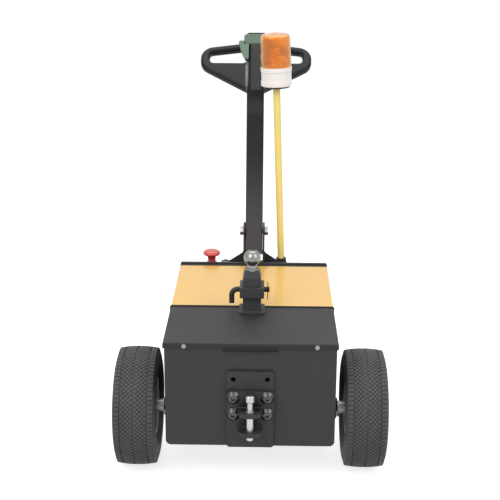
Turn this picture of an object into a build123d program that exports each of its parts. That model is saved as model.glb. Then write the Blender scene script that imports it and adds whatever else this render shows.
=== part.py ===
from build123d import *
import math
import os

# Walk-behind electric tow tractor, in millimetres.
# X runs across, Y from the hitch end (-) to the operator's end (+), Z up from the floor.
# Lengths along Y are measured from the drive axle. At the end everything moves together,
# so that the origin lies on the floor under the middle of the machine.

# Drive wheels, 13x5.00-6
tyre_dia = 330
tyre_width = 118
tread_width = 106
tread_crown = 5
tread_groove = 5
rim_dia = 152
rim_flange = 9
rim_sheet = 4
bead_inset = 15
disc_dish = 12
disc_vents = 6
vent_margin = 3
wheel_gap = 27

# Drive axle
axle_dia = 25
hub_dia = 34
hub_flange_dia = 96
hub_flange_sheet = 8
hub_nut_dia = 38
hub_nut_length = 20
hub_gap = 2
axle_hole_dia = 50
bearing_plate = 8
bearing_boss_dia = 50
bearing_boss = 14
bearing_bolt_span = 84
running_fit = 0.05
loose_fit = 0.2

# Body box
body_width = 455
body_front = 137
body_length = 628
floor_below_axle = 50
step_clearance = 28
step_run = 35
side_sheet = 5
front_sheet = 6
rear_sheet = 10
rear_sheet_proud = 5
rear_flange = 15
floor_sheet = 4
corner_round = 14
plate_round = 7

# Covers
deck_height = 414
cover_sheet = 3
cover_gap = 1
cover_skirt = 15
cover_round = 4
seam_from_axle = 126
pull_length = 138
pull_out = 6
pull_drop = 3

# Console behind the rear plate
console_width = 400
console_behind_foot = 5
console_height = 150
console_drop = 20
console_round = 14
console_rim_round = 4.7

# Tow hitch on the front
hitch_width = 125
hitch_below_lip = 60
hitch_sheet = 8
hitch_below_floor = 1
hole_dia = 14
hole_across = 90
hole_pitch = 48
hole_bottom = 103
jaw_sheet = 11
jaw_width = 66
jaw_reach = 44
jaw_gap = 45
jaw_rise = 54
jaw_nose_flat = 10
clevis_height = 128
tow_pin_dia = 20
tow_pin_back = 20
tow_pin_tail = 15
tow_pin_collar = 26
tow_pin_collar_height = 5
tow_pin_chamfer = 2.5
tow_pin_grip = 33
tow_pin_neck = 16
tow_pin_knob = 25
tow_pin_knob_height = 22
tow_pin_knob_round = 6

# Upright receiver with its tow ball
receiver_from_axle = 102
receiver_size = 51
receiver_wall = 5
receiver_round = 5
receiver_flange = 72
receiver_flange_sheet = 5
receiver_collar = 68
receiver_collar_height = 30
receiver_height = 77
shank_depth = 60
mount_block = 24
mount_taper = 20
mount_top = 40
ball_dia = 47.6
ball_neck_dia = 28
ball_flat_dia = 18
ball_washer = 5
ball_washer_dia = 38
ball_lift = 34
receiver_pin_dia = 15
receiver_pin_bend = 17
receiver_pin_drop = 40
receiver_pin_out = 23
beam_depth = 84
beam_height = 40
beam_sheet = 5

# Tiller
pivot_from_rear = 29
pivot_rise = 112
tiller_lean = 15
tube_width = 54
tube_depth = 40
tube_wall = 3
tube_round = 5
tube_tail = 74
tube_length = 362
pivot_bolt_dia = 16
pivot_head_dia = 28
pivot_head = 11
sleeve_dia = 26
ear_sheet = 6
ear_gap = 0.5
ear_round_dia = 54
ear_foot = 56
bracket_edge = 1
bracket_sheet = 8
bracket_round = 8
gusset_height = 41
gusset_inset = 10
stop_dia = 12
stop_gap = 0.4

# Handle on the tiller
neck_length = 57
spigot_length = 45
handle_bend = 35
handle_thick = 26
handle_round = 9
handle_half = 177
handle_depth = 216
handle_fall = 22
handle_side = 77
handle_corner = 45
handle_root = 26
handle_root_rise = 20
handle_top_x = 40
grip_bar = 25
grip_room = 57
grip_from_spine = 11
grip_end = 29
grip_round = 14
spine_width = 38
spine_foot = 54
spine_rise = 15
spine_short = 16
head_width = 78
head_length = 45
head_rise = 25
head_drop = 22
head_round = 10
head_rim_round = 5
wing_span = 114
wing_waist = 104
wing_tip = 68
wing_length = 76
wing_shoulder = 30
wing_thick = 12
wing_round = 6
wing_short = 2
belly_width = 60
belly_height = 32
belly_sheet = 10
belly_round = 8

# Warning beacon
beacon_x = 87
beacon_from_rear = 52
beacon_lean = 2.2
pole_dia = 22
pole_length = 559
foot_size = 34
foot_sheet = 6
foot_round = 6
foot_socket_dia = 32
foot_socket = 10
cradle_dia = 84
cradle_sheet = 5
cradle_round = 3
beacon_base_dia = 95
beacon_base_height = 58
beacon_base_round = 4
base_band_low = 16
base_band_high = 44
lens_dia = 93
lens_top_dia = 89
lens_height = 101
lens_wall = 4
lens_dome = 6
lens_round = 11
lens_rib = 3
lens_ribs = 7
lens_rib_start = 9
lens_rib_pitch = 11
lamp_dia = 36
lamp_height = 58
lamp_round = 9

# Controls on the console
stop_from_bracket = 9
stop_button_from_rear = 37
stop_cap_dia = 55
stop_cap_height = 15
stop_cap_round = 9
stop_stem_dia = 28
stop_stem_height = 27
stop_base_dia = 42
stop_base_height = 10
stop_base_chamfer = 2.5
key_x = -110
key_dia = 28
key_proud = 12
key_chamfer = 2
key_slot = 2
key_slot_length = 14
key_slot_depth = 6
gauge_x = 110
gauge_width = 62
gauge_height = 40
gauge_proud = 9
gauge_rim = 4.5
gauge_recess = 2.7
panel_drop = 62

# Swivel caster under the operator's end
caster_from_rear = 91
caster_headroom = 19.7
caster_dia = 150
caster_width = 44
caster_tread = 16
caster_tread_round = 5
caster_recess = 11
caster_rim = 16
caster_boss_dia = 34
caster_boss_gap = 2.5
caster_trail = 42
caster_bolt_dia = 14
caster_head_dia = 24
caster_head = 8
caster_plate_width = 120
caster_plate_depth = 100
caster_plate_sheet = 6
swivel_dia = 84
swivel_height = 13
swivel_gap = 0.3
fork_sheet = 6
fork_side_gap = 5
fork_crown = 9
fork_foot_dia = 44
fork_leg = 56
kingpin_dia = 20
kingpin_sink = 3

# Heavy masses inside
battery_width = 340
battery_headroom = 19
battery_gap = 12
drive_width = 220
drive_depth = 120
drive_height = 104
motor_dia = 110
motor_height = 100

# Worked out from the sizes above
axle_height = tyre_dia / 2
body_half = body_width / 2
wheel_x = body_half + wheel_gap + tyre_width / 2
rim_r = rim_dia / 2
bead_x = tyre_width / 2 - bead_inset
rear_y = body_length - body_front
front_y = -body_front
cover_half = body_half + cover_gap + cover_sheet
cover_under = deck_height - cover_sheet
lip_bottom = deck_height - cover_skirt
inside_half = body_half - side_sheet
ground_clearance = axle_height - floor_below_axle
rear_clearance = (caster_dia + caster_headroom + fork_crown + swivel_gap + swivel_height
                  + caster_plate_sheet)
console_depth = beacon_from_rear + foot_size / 2 + console_behind_foot
console_back = rear_y + rear_sheet + console_depth
console_top = deck_height - console_drop
bracket_top = console_top + bracket_sheet
pivot_y = rear_y + rear_sheet + pivot_from_rear
pivot_height = bracket_top + pivot_rise
bracket_half = beacon_x + foot_size / 2 + bracket_edge
stop_button_x = -(bracket_half + stop_from_bracket + stop_base_dia / 2)
receiver_top = deck_height + receiver_height
receiver_pin_z = receiver_top - receiver_collar_height / 2
ball_z = receiver_top + mount_block + mount_taper + ball_lift
hitch_bottom = ground_clearance - hitch_below_floor
hitch_top = lip_bottom - pull_drop - hitch_below_lip
hole_rows = 1 + int((hitch_top - hitch_bottom - hole_bottom - hole_dia) / hole_pitch)
jaw_bottom = hitch_bottom + jaw_rise
tow_pin_y = front_y - hitch_sheet - hitch_sheet - jaw_reach + tow_pin_back
jaw_top = jaw_bottom + jaw_sheet + jaw_gap + jaw_sheet
floor_top = ground_clearance + floor_sheet
rear_floor_top = rear_clearance + floor_sheet
caster_axle_z = caster_dia / 2
caster_from_axle = rear_y - caster_from_rear
caster_axle_y = caster_from_axle - caster_trail
step_start = caster_axle_y - caster_dia / 2 - step_clearance
swivel_z = rear_clearance - caster_plate_sheet - swivel_height
crown_top = swivel_z - swivel_gap
battery_height = cover_under - battery_headroom - rear_floor_top
handle_start = tube_length + neck_length
handle_high = handle_depth - handle_fall
handle_low = handle_high - handle_side
grip_low = handle_depth - grip_bar - grip_room
grip_in = spine_width / 2 + grip_from_spine
grip_out = handle_half - grip_end
spine_end = handle_depth - spine_short
spine_top = handle_thick / 2 + spine_rise
spine_slope = (spine_foot - spine_width) / 2 / spine_top
head_start = spine_end
head_end = head_start + head_length
beacon_y = rear_y + rear_sheet + beacon_from_rear
cradle_low = foot_sheet + pole_length
base_low = cradle_low + cradle_sheet
lens_low = base_low + beacon_base_height


def slab(x0, x1, y0, y1, z0, z1):
    centre = Pos((x0 + x1) / 2, (y0 + y1) / 2, (z0 + z1) / 2)
    return centre * Box(x1 - x0, y1 - y0, z1 - z0)


def post(dia, x, y, z0, z1):
    return Pos(x, y, (z0 + z1) / 2) * Cylinder(dia / 2, z1 - z0)


def bar(dia, x0, x1, y, z):
    return Pos((x0 + x1) / 2, y, z) * Rot(0, 90, 0) * Cylinder(dia / 2, x1 - x0)


def rod(dia, x, y0, y1, z):
    return Pos(x, (y0 + y1) / 2, z) * Rot(90, 0, 0) * Cylinder(dia / 2, y1 - y0)


def rounded(solid, axis, radius):
    return fillet(solid.edges().filter_by(axis), radius)


def plate_yz(points, x0, x1):
    """Flat plate across X from an outline of (y, z) points."""
    face = Plane.YZ * make_face(Polyline(*points, close=True))
    return Pos(x0, 0, 0) * extrude(face, x1 - x0)


def plate_xz(points, y0, y1):
    """Flat plate across Y from an outline of (x, z) points."""
    face = Plane.XZ * make_face(Polyline(*points, close=True))
    return Pos(0, y1, 0) * extrude(face, y1 - y0)


# Drive wheels, made for the +X side about the axle line

def tyre_ring():
    seat = rim_r + rim_flange
    crown_r = tyre_dia / 2 - tread_crown
    bulge_r = (seat + tyre_dia / 2) / 2
    half = tyre_width / 2
    tread = tread_width / 2
    outer = ThreePointArc((bead_x, seat), (half, bulge_r), (tread, crown_r))
    crown = ThreePointArc((tread, crown_r), (0, tyre_dia / 2), (-tread, crown_r))
    inner = ThreePointArc((-tread, crown_r), (-half, bulge_r), (-bead_x, seat))
    bead = Polyline((-bead_x, seat), (-bead_x, rim_r), (bead_x, rim_r), (bead_x, seat))
    ring = revolve(make_face([outer, crown, inner, bead]), Axis.X)
    groove = Rot(0, 90, 0) * (Cylinder(tyre_dia, tread_groove)
                              - Cylinder(tyre_dia / 2 - tread_groove, tread_groove))
    return ring - groove


def rim_dish():
    edge = bead_x + rim_sheet
    well = rim_r - rim_sheet
    bolt_r = hub_flange_dia / 2 + rim_sheet
    barrel = Polyline((-edge, well), (edge, well), (edge, rim_r + rim_flange), (bead_x, rim_r + rim_flange),
                      (bead_x, rim_r), (-bead_x, rim_r), (-bead_x, rim_r + rim_flange),
                      (-edge, rim_r + rim_flange), close=True)
    hole_r = axle_dia / 2 + loose_fit
    disc = Polyline((0, hole_r), (rim_sheet, hole_r), (rim_sheet, bolt_r), (rim_sheet + disc_dish, well),
                    (disc_dish, well), (0, bolt_r), close=True)
    rim = revolve(make_face(barrel), Axis.X) + revolve(make_face(disc), Axis.X)
    vent_r = (bolt_r + well) / 2
    vent_dia = well - bolt_r - 2 * vent_margin
    for turn in range(disc_vents):
        angle = 2 * math.pi * turn / disc_vents
        rim -= bar(vent_dia, -edge, edge, vent_r * math.cos(angle), vent_r * math.sin(angle))
    return rim


def half_shaft():
    inner_end = drive_width / 2 - wheel_x - axle_dia
    hub_start = body_half + bearing_boss + hub_gap - wheel_x
    shaft = bar(axle_dia, inner_end, hub_nut_length, 0, 0)
    hub = bar(hub_dia, hub_start, -hub_flange_sheet, 0, 0)
    flange = bar(hub_flange_dia, -hub_flange_sheet, 0, 0, 0)
    nut = bar(hub_nut_dia, rim_sheet, hub_nut_length, 0, 0)
    return shaft + hub + flange + nut


def axle_bearing():
    lug = SlotOverall(bearing_bolt_span + bearing_boss_dia / 2, bearing_boss_dia / 2)
    face = Plane.YZ * (lug + Circle(bearing_boss_dia / 2))
    body = extrude(face, bearing_plate) + bar(bearing_boss_dia, 0, bearing_boss, 0, 0)
    body -= bar(axle_dia + 2 * running_fit, -bearing_boss, 2 * bearing_boss, 0, 0)
    return Pos(body_half, 0, axle_height) * body


# Body box

def front_plate():
    plate = slab(-body_half, body_half, front_y, front_y + front_sheet, ground_clearance, cover_under)
    low_edges = plate.edges().filter_by(Axis.Y).group_by(Axis.Z)[0]
    plate = fillet(low_edges, corner_round)
    return plate - hitch_holes(front_y, front_y + front_sheet)


def side_plate():
    start = front_y + front_sheet
    points = [(start, ground_clearance + corner_round), (start + corner_round, ground_clearance),
              (step_start, ground_clearance), (step_start + step_run, rear_clearance),
              (rear_y, rear_clearance), (rear_y, cover_under), (start, cover_under)]
    plate = plate_yz(points, inside_half, body_half)
    return plate - bar(axle_hole_dia, 0, body_half + side_sheet, 0, axle_height)


def floor_pan():
    rise = rear_clearance - ground_clearance
    slope = math.atan2(rise, step_run)
    shift = floor_sheet * math.tan(slope / 2)
    start = front_y + front_sheet
    points = [(start, ground_clearance + corner_round), (start + corner_round, ground_clearance),
              (step_start, ground_clearance), (step_start + step_run, rear_clearance),
              (rear_y, rear_clearance), (rear_y, rear_floor_top),
              (step_start + step_run - shift, rear_floor_top), (step_start - shift, floor_top),
              (start + corner_round, floor_top), (start, floor_top + corner_round)]
    return plate_yz(points, -inside_half, inside_half)


def rear_plate():
    plate = slab(-cover_half, cover_half, rear_y, rear_y + rear_sheet, rear_clearance,
                 deck_height + rear_sheet_proud)
    plate = rounded(plate, Axis.Y, plate_round)
    return plate + slab(-cover_half, cover_half, rear_y - rear_flange, rear_y, cover_under, deck_height)


def cross_beam():
    back = receiver_from_axle + beam_depth / 2
    front = receiver_from_axle - beam_depth / 2
    top = beam_top()
    outer = slab(-inside_half, inside_half, front, back, top - beam_height, top)
    hollow = slab(-inside_half, inside_half, front + beam_sheet, back - beam_sheet,
                  top - beam_height, top - beam_sheet)
    return outer - hollow


def beam_top():
    return receiver_top - receiver_collar_height - shank_depth - receiver_wall


def receiver_notch():
    half = receiver_size / 2 + cover_gap
    return slab(-half, half, receiver_from_axle - half, receiver_from_axle + half, 0, 2 * deck_height)


def cover_shell(y0, y1, lip):
    outer = slab(-cover_half, cover_half, y0, y1, lip_bottom, deck_height)
    top_edges = outer.edges().group_by(Axis.Z)[-1]
    bends = top_edges.filter_by(Axis.Y)
    if lip:
        bends = bends + [top_edges.sort_by(Axis.Y)[0]]
    outer = fillet(bends, cover_round)
    inner_half = cover_half - cover_sheet
    hollow = slab(-inner_half, inner_half, y0 + lip, y1, lip_bottom, cover_under)
    inner_edges = hollow.edges().group_by(Axis.Z)[-1]
    inner_bends = inner_edges.filter_by(Axis.Y)
    if lip:
        inner_bends = inner_bends + [inner_edges.sort_by(Axis.Y)[0]]
    return outer - fillet(inner_bends, cover_round - cover_sheet) - receiver_notch()


def hood_front():
    face = front_y - cover_gap - cover_sheet
    back = face + cover_sheet
    low = lip_bottom
    cover = cover_shell(face, seam_from_axle - cover_gap / 2, cover_sheet)
    flare = [(face, low), (back, low), (back - pull_out, low - pull_drop),
             (face - pull_out, low - pull_drop)]
    return cover + plate_yz(flare, -pull_length / 2, pull_length / 2)


def hood_rear():
    return cover_shell(seam_from_axle + cover_gap / 2, rear_y - rear_flange, 0)


def rear_console():
    low = console_top - console_height
    front = rear_y + rear_sheet
    box = slab(-console_width / 2, console_width / 2, front, console_back, low, console_top)
    corners = box.edges().filter_by(Axis.Z).group_by(Axis.Y)[-1]
    box = fillet(corners, console_round)
    rim = box.faces().sort_by(Axis.Z)[-1].edges()
    back_rim = [edge for edge in rim if edge.center().Y > front + loose_fit]
    return fillet(back_rim, console_rim_round)


# Tow hitch

def hole_places():
    first = hitch_bottom + hole_bottom
    return [(side * hole_across / 2, first + row * hole_pitch)
            for row in range(hole_rows) for side in (-1, 1)]


def hitch_holes(y0, y1):
    holes = Part()
    for x, z in hole_places():
        holes += rod(hole_dia, x, y0, y1, z)
    return holes


def hitch_plate():
    half = hitch_width / 2
    back = front_y
    plate = slab(-half, half, back - hitch_sheet, back, hitch_bottom, hitch_top)
    plate = rounded(plate, Axis.Y, plate_round)
    return plate - hitch_holes(back - hitch_sheet, back)


def jaw_plate(z0):
    back = front_y - hitch_sheet
    front = back - hitch_sheet - jaw_reach
    plate = slab(-jaw_width / 2, jaw_width / 2, front, back, z0, z0 + jaw_sheet)
    nose = plate.edges().filter_by(Axis.Z).group_by(Axis.Y)[0]
    return fillet(nose, (jaw_width - jaw_nose_flat) / 2)


def hitch_clevis():
    back = front_y - hitch_sheet
    half = hitch_width / 2
    low = jaw_bottom - hole_dia
    flange = slab(-half, half, back - hitch_sheet, back, low, low + clevis_height)
    flange = rounded(flange, Axis.Y, plate_round)
    flange -= hitch_holes(back - hitch_sheet, back)
    jaws = jaw_plate(jaw_bottom) + jaw_plate(jaw_top - jaw_sheet)
    clevis = flange + jaws
    return clevis - post(tow_pin_dia + loose_fit, 0, tow_pin_y, 0, deck_height)


def tow_pin():
    low = jaw_bottom - tow_pin_tail
    collar_top = jaw_top + tow_pin_collar_height
    neck_top = collar_top + tow_pin_grip
    shaft = post(tow_pin_dia, 0, tow_pin_y, low, collar_top)
    shaft = chamfer(shaft.faces().sort_by(Axis.Z)[0].edges(), tow_pin_chamfer)
    collar = post(tow_pin_collar, 0, tow_pin_y, jaw_top, collar_top)
    neck = post(tow_pin_neck, 0, tow_pin_y, collar_top, neck_top)
    knob = Pos(0, tow_pin_y, neck_top) * Cylinder(tow_pin_knob / 2, tow_pin_knob_height)
    knob = fillet(knob.edges(), tow_pin_knob_round)
    return shaft + collar + neck + knob


# Upright receiver, ball mount and ball

def ball_receiver():
    half = receiver_size / 2
    y = receiver_from_axle
    collar_half = receiver_collar / 2
    flange_half = receiver_flange / 2
    tube = rounded(slab(-half, half, y - half, y + half, beam_top(), receiver_top), Axis.Z, receiver_round)
    collar = slab(-collar_half, collar_half, y - collar_half, y + collar_half,
                  receiver_top - receiver_collar_height, receiver_top)
    collar = rounded(collar, Axis.Z, receiver_round)
    flange = slab(-flange_half, flange_half, y - flange_half, y + flange_half,
                  deck_height, deck_height + receiver_flange_sheet)
    flange = rounded(flange, Axis.Z, receiver_round)
    bore = half - receiver_wall
    body = tube + collar + flange
    body -= slab(-bore, bore, y - bore, y + bore, beam_top() + receiver_wall, receiver_top)
    return body - bar(receiver_pin_dia + loose_fit, -receiver_collar, receiver_collar, y, receiver_pin_z)


def ball_mount():
    y = receiver_from_axle
    shank = receiver_size / 2 - receiver_wall - loose_fit
    half = receiver_size / 2
    block_top = receiver_top + mount_block
    low = slab(-shank, shank, y - shank, y + shank, receiver_top - shank_depth, receiver_top)
    block = rounded(slab(-half, half, y - half, y + half, receiver_top, block_top), Axis.Z, receiver_round)
    wide = Pos(0, y, block_top) * RectangleRounded(receiver_size, receiver_size, receiver_round)
    narrow = Pos(0, y, block_top + mount_taper) * RectangleRounded(mount_top, mount_top, receiver_round)
    body = low + block + loft([wide, narrow])
    return body - bar(receiver_pin_dia + loose_fit, -receiver_collar, receiver_collar, y, receiver_pin_z)


def hitch_ball():
    y = receiver_from_axle
    seat = receiver_top + mount_block + mount_taper
    flat_z = ball_z + math.sqrt(ball_dia ** 2 - ball_flat_dia ** 2) / 2
    washer = post(ball_washer_dia, 0, y, seat, seat + ball_washer)
    neck = post(ball_neck_dia, 0, y, seat, ball_z)
    ball = Pos(0, y, ball_z) * Sphere(ball_dia / 2)
    flat = slab(-ball_dia, ball_dia, y - ball_dia, y + ball_dia, flat_z, ball_z + ball_dia)
    return washer + neck + ball - flat


def receiver_pin():
    y = receiver_from_axle
    outer = receiver_collar / 2 + receiver_pin_out
    right = receiver_collar / 2 + receiver_pin_dia
    path = FilletPolyline((right, y, receiver_pin_z), (-outer, y, receiver_pin_z),
                          (-outer, y, receiver_pin_z - receiver_pin_drop), radius=receiver_pin_bend)
    section = Plane(origin=path @ 0, z_dir=path % 0) * Circle(receiver_pin_dia / 2)
    return sweep(section, path)


# Tiller, made upright about its pivot and then leant back

def lean(solid):
    return Pos(0, pivot_y, pivot_height) * Rot(-tiller_lean, 0, 0) * solid


def tiller_tube():
    half_x = tube_width / 2
    half_y = tube_depth / 2
    outer = rounded(slab(-half_x, half_x, -half_y, half_y, -tube_tail, tube_length), Axis.Z, tube_round)
    hollow = slab(-half_x + tube_wall, half_x - tube_wall, -half_y + tube_wall, half_y - tube_wall,
                  -tube_tail + tube_wall, tube_length)
    body = outer - hollow + bar(sleeve_dia, -half_x, half_x, 0, 0)
    body -= bar(pivot_bolt_dia + 2 * running_fit, -tube_width, tube_width, 0, 0)
    return lean(body)


def handle_plane():
    bend = math.radians(handle_bend)
    return Plane(origin=(0, 0, handle_start), x_dir=(1, 0, 0), z_dir=(0, -math.cos(bend), math.sin(bend)))


def handle_outline():
    points = [(-handle_top_x, handle_depth), (-handle_half, handle_high), (-handle_half, handle_low),
              (-handle_root, handle_root_rise), (handle_root, handle_root_rise),
              (handle_half, handle_low), (handle_half, handle_high),
              (handle_top_x, handle_depth)]
    face = make_face(Polyline(*points, close=True))
    for side in (-1, 1):
        end = side * handle_half
        ends = face.vertices().filter_by_position(Axis.X, end - loose_fit, end + loose_fit)
        face = fillet(ends, handle_corner)
    inner = max(handle_root, handle_top_x) + loose_fit
    return fillet(face.vertices().filter_by_position(Axis.X, -inner, inner), handle_round)


def grip_window():
    fall = (handle_depth - handle_high) / (handle_half - handle_top_x)
    inner_top = handle_depth - grip_bar + fall * (handle_top_x - grip_in)
    outer_top = handle_depth - grip_bar + fall * (handle_top_x - grip_out)
    window = make_face(Polyline((grip_in, grip_low), (grip_out, grip_low),
                                (grip_out, outer_top), (grip_in, inner_top), close=True))
    return fillet(window.vertices(), grip_round)


def handle_loop():
    plane = handle_plane()
    window = grip_window()
    face = handle_outline() - window - mirror(window, Plane.YZ)
    web = extrude(face, handle_thick / 2, both=True)
    levels = web.faces().sort_by(Axis.Z)
    web = fillet(levels[0].edges() + levels[-1].edges(), handle_round)
    wide = Pos(0, spine_end / 2, 0) * Rectangle(spine_foot, spine_end)
    narrow = Pos(0, spine_end / 2, spine_top) * Rectangle(spine_width, spine_end)
    spine = loft([wide, narrow])
    spine = fillet(spine.edges().group_by(Axis.Z)[-1], handle_round)
    half_x = tube_width / 2
    half_y = tube_depth / 2
    neck = slab(-half_x, half_x, -half_y, half_y, tube_length, handle_start + half_y)
    neck = rounded(neck, Axis.Z, tube_round)
    fit_x = half_x - tube_wall - loose_fit
    fit_y = half_y - tube_wall - loose_fit
    spigot = slab(-fit_x, fit_x, -fit_y, fit_y, tube_length - spigot_length, tube_length)
    return lean(plane * (web + spine) + neck + spigot)


def control_head():
    half = head_width / 2
    block = slab(-half, half, head_start, head_end, -head_drop, head_rise)
    block = fillet(block.edges().filter_by(Axis.Z), head_round)
    block = fillet(block.faces().sort_by(Axis.Z)[-1].edges(), head_rim_round)
    seat = slab(-handle_half, handle_half, 0, handle_depth + loose_fit, -handle_thick, handle_thick / 2)
    return lean(handle_plane() * (block - seat))


def throttle_wings():
    plane = handle_plane()
    inner = spine_foot / 2 - spine_slope * handle_thick / 2 + loose_fit
    beside = head_width / 2
    high = handle_depth - wing_short
    low = high - wing_length
    outline = Polyline((inner, low), (wing_tip / 2, low), (wing_waist / 2, high - wing_shoulder),
                       (wing_span / 2, high), (beside, high), (beside, head_start), (inner, head_start),
                       close=True)
    wing = Pos(0, 0, handle_thick / 2) * extrude(make_face(outline), wing_thick)
    rim = [edge for edge in wing.edges().filter_by(Axis.Z) if edge.center().X > beside + loose_fit]
    wing = fillet(rim, wing_round)
    return [lean(plane * wing), lean(plane * mirror(wing, Plane.YZ))]


def belly_switch():
    mid = (head_rise - head_drop) / 2
    pad = slab(-belly_width / 2, belly_width / 2, head_end, head_end + belly_sheet,
               mid - belly_height / 2, mid + belly_height / 2)
    pad = fillet(pad.edges().filter_by(Axis.Y), belly_round)
    return lean(handle_plane() * pad)


def tiller_bracket():
    inner = tube_width / 2 + ear_gap
    outer = inner + ear_sheet
    front = rear_y + rear_sheet
    back = console_back - console_rim_round
    base = slab(-bracket_half, bracket_half, front, back, console_top, bracket_top)
    body = rounded(base, Axis.Z, bracket_round)
    gusset_end = bracket_half - gusset_inset
    top_r = ear_round_dia / 2
    foot = ear_foot / 2
    stop_back = tube_depth / 2 + stop_gap + stop_dia / 2
    stop_down = tube_tail - stop_dia / 2
    stop = lean(bar(stop_dia, -outer, outer, stop_back, -stop_down))
    for side in (-1, 1):
        x0 = min(side * inner, side * outer)
        web = plate_yz([(pivot_y - foot, bracket_top), (pivot_y + foot, bracket_top),
                        (pivot_y + top_r, pivot_height), (pivot_y - top_r, pivot_height)], x0, x0 + ear_sheet)
        body += web + bar(ear_round_dia, x0, x0 + ear_sheet, pivot_y, pivot_height)
        body += plate_xz([(side * outer, bracket_top), (side * gusset_end, bracket_top),
                          (side * outer, bracket_top + gusset_height)],
                         pivot_y - ear_sheet / 2, pivot_y + ear_sheet / 2)
    body += stop
    return body - bar(pivot_bolt_dia + 2 * running_fit, -bracket_half, bracket_half, pivot_y, pivot_height)


def pivot_bolt():
    outer = tube_width / 2 + ear_gap + ear_sheet
    body = bar(pivot_bolt_dia, -outer, outer, pivot_y, pivot_height)
    for side in (-1, 1):
        hexagon = extrude(Plane.YZ * RegularPolygon(pivot_head_dia / 2, 6), side * pivot_head)
        body += Pos(side * outer, pivot_y, pivot_height) * hexagon
    return body


# Warning beacon, made upright over its foot and then leant

def tilt(solid):
    return Pos(beacon_x, beacon_y, bracket_top) * Rot(0, -beacon_lean, 0) * solid


def beacon_foot():
    half = foot_size / 2
    base = slab(beacon_x - half, beacon_x + half, beacon_y - half, beacon_y + half,
                bracket_top, bracket_top + foot_sheet)
    base = rounded(base, Axis.Z, foot_round)
    socket = tilt(post(foot_socket_dia, 0, 0, foot_sheet / 2, foot_sheet + foot_socket))
    return base + socket - tilt(post(pole_dia + loose_fit, 0, 0, foot_sheet, 2 * foot_socket))


def beacon_pole():
    return tilt(post(pole_dia, 0, 0, foot_sheet, cradle_low))


def beacon_cradle():
    plate = post(cradle_dia, 0, 0, cradle_low, base_low)
    return tilt(fillet(plate.edges().group_by(Axis.Z)[0], cradle_round))


def beacon_base():
    body = post(beacon_base_dia, 0, 0, base_low, lens_low)
    waist = beacon_base_dia - lens_rib
    ring = post(2 * beacon_base_dia, 0, 0, base_low + base_band_low, base_low + base_band_high)
    body -= ring - post(waist, 0, 0, base_low, lens_low)
    return tilt(fillet(body.edges().group_by(Axis.Z)[0], beacon_base_round))


def lens_form(base_r, top_r, height, corner):
    straight = height - lens_dome
    dome_r = (top_r ** 2 + lens_dome ** 2) / (2 * lens_dome)
    half_angle = math.asin(top_r / dome_r) / 2
    mid = (dome_r * math.sin(half_angle), height - dome_r + dome_r * math.cos(half_angle))
    side = Polyline((0, height), (0, 0), (base_r, 0), (top_r, straight))
    cap = ThreePointArc((top_r, straight), mid, (0, height))
    face = make_face([side, cap])
    top = face.vertices().filter_by_position(Axis.X, top_r - loose_fit, top_r + loose_fit)
    return revolve(Plane.XZ * fillet(top, corner), Axis.Z)


def beacon_lens():
    r0 = lens_dia / 2
    r1 = lens_top_dia / 2
    shell = lens_form(r0, r1, lens_height, lens_round)
    for rib in range(lens_ribs):
        z = lens_rib_start + lens_rib_pitch * rib
        r = r0 + (r1 - r0) * z / lens_height
        shell -= Pos(0, 0, z) * (Cylinder(2 * r0, lens_rib) - Cylinder(r - lens_rib / 2, lens_rib))
    shell -= lens_form(r0 - lens_wall, r1 - lens_wall, lens_height - lens_wall, lens_round - lens_wall)
    return tilt(Pos(0, 0, lens_low) * shell)


def beacon_lamp():
    lamp = post(lamp_dia, 0, 0, lens_low, lens_low + lamp_height)
    return tilt(fillet(lamp.edges().group_by(Axis.Z)[-1], lamp_round))


# Controls on the console

def stop_base():
    y = rear_y + rear_sheet + stop_button_from_rear
    body = post(stop_base_dia, stop_button_x, y, console_top, console_top + stop_base_height)
    return chamfer(body.edges().group_by(Axis.Z)[-1], stop_base_chamfer)


def stop_button():
    y = rear_y + rear_sheet + stop_button_from_rear
    low = console_top + stop_base_height
    cap_low = low + stop_stem_height
    stem = post(stop_stem_dia, stop_button_x, y, low, cap_low)
    cap = post(stop_cap_dia, stop_button_x, y, cap_low, cap_low + stop_cap_height)
    cap = fillet(cap.edges().group_by(Axis.Z)[-1], stop_cap_round)
    return stem + cap


def key_switch():
    z = console_top - panel_drop
    barrel = rod(key_dia, key_x, console_back, console_back + key_proud, z)
    face = console_back + key_proud
    half = key_slot_length / 2
    slot = slab(key_x - key_slot / 2, key_x + key_slot / 2, face - key_slot_depth, face, z - half, z + half)
    return chamfer(barrel.edges().group_by(Axis.Y)[-1], key_chamfer) - slot


def battery_gauge():
    z = console_top - panel_drop
    half = gauge_width / 2
    frame = slab(gauge_x - half, gauge_x + half, console_back, console_back + gauge_proud,
                 z - gauge_height / 2, z + gauge_height / 2)
    frame = rounded(frame, Axis.Y, gauge_rim)
    face = console_back + gauge_proud
    side = half - gauge_rim
    high = gauge_height / 2 - gauge_rim
    window = slab(gauge_x - side, gauge_x + side, face - gauge_recess, face, z - high, z + high)
    return frame - window


# Swivel caster

def caster_plate():
    y = caster_from_axle
    half = caster_plate_width / 2
    deep = caster_plate_depth / 2
    low = rear_clearance - caster_plate_sheet
    plate = rounded(slab(-half, half, y - deep, y + deep, low, rear_clearance), Axis.Z, plate_round)
    ring = post(swivel_dia, 0, y, swivel_z, low)
    bore = post(kingpin_dia + 2 * running_fit, 0, y, swivel_z, rear_clearance)
    return plate + ring - bore


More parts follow.
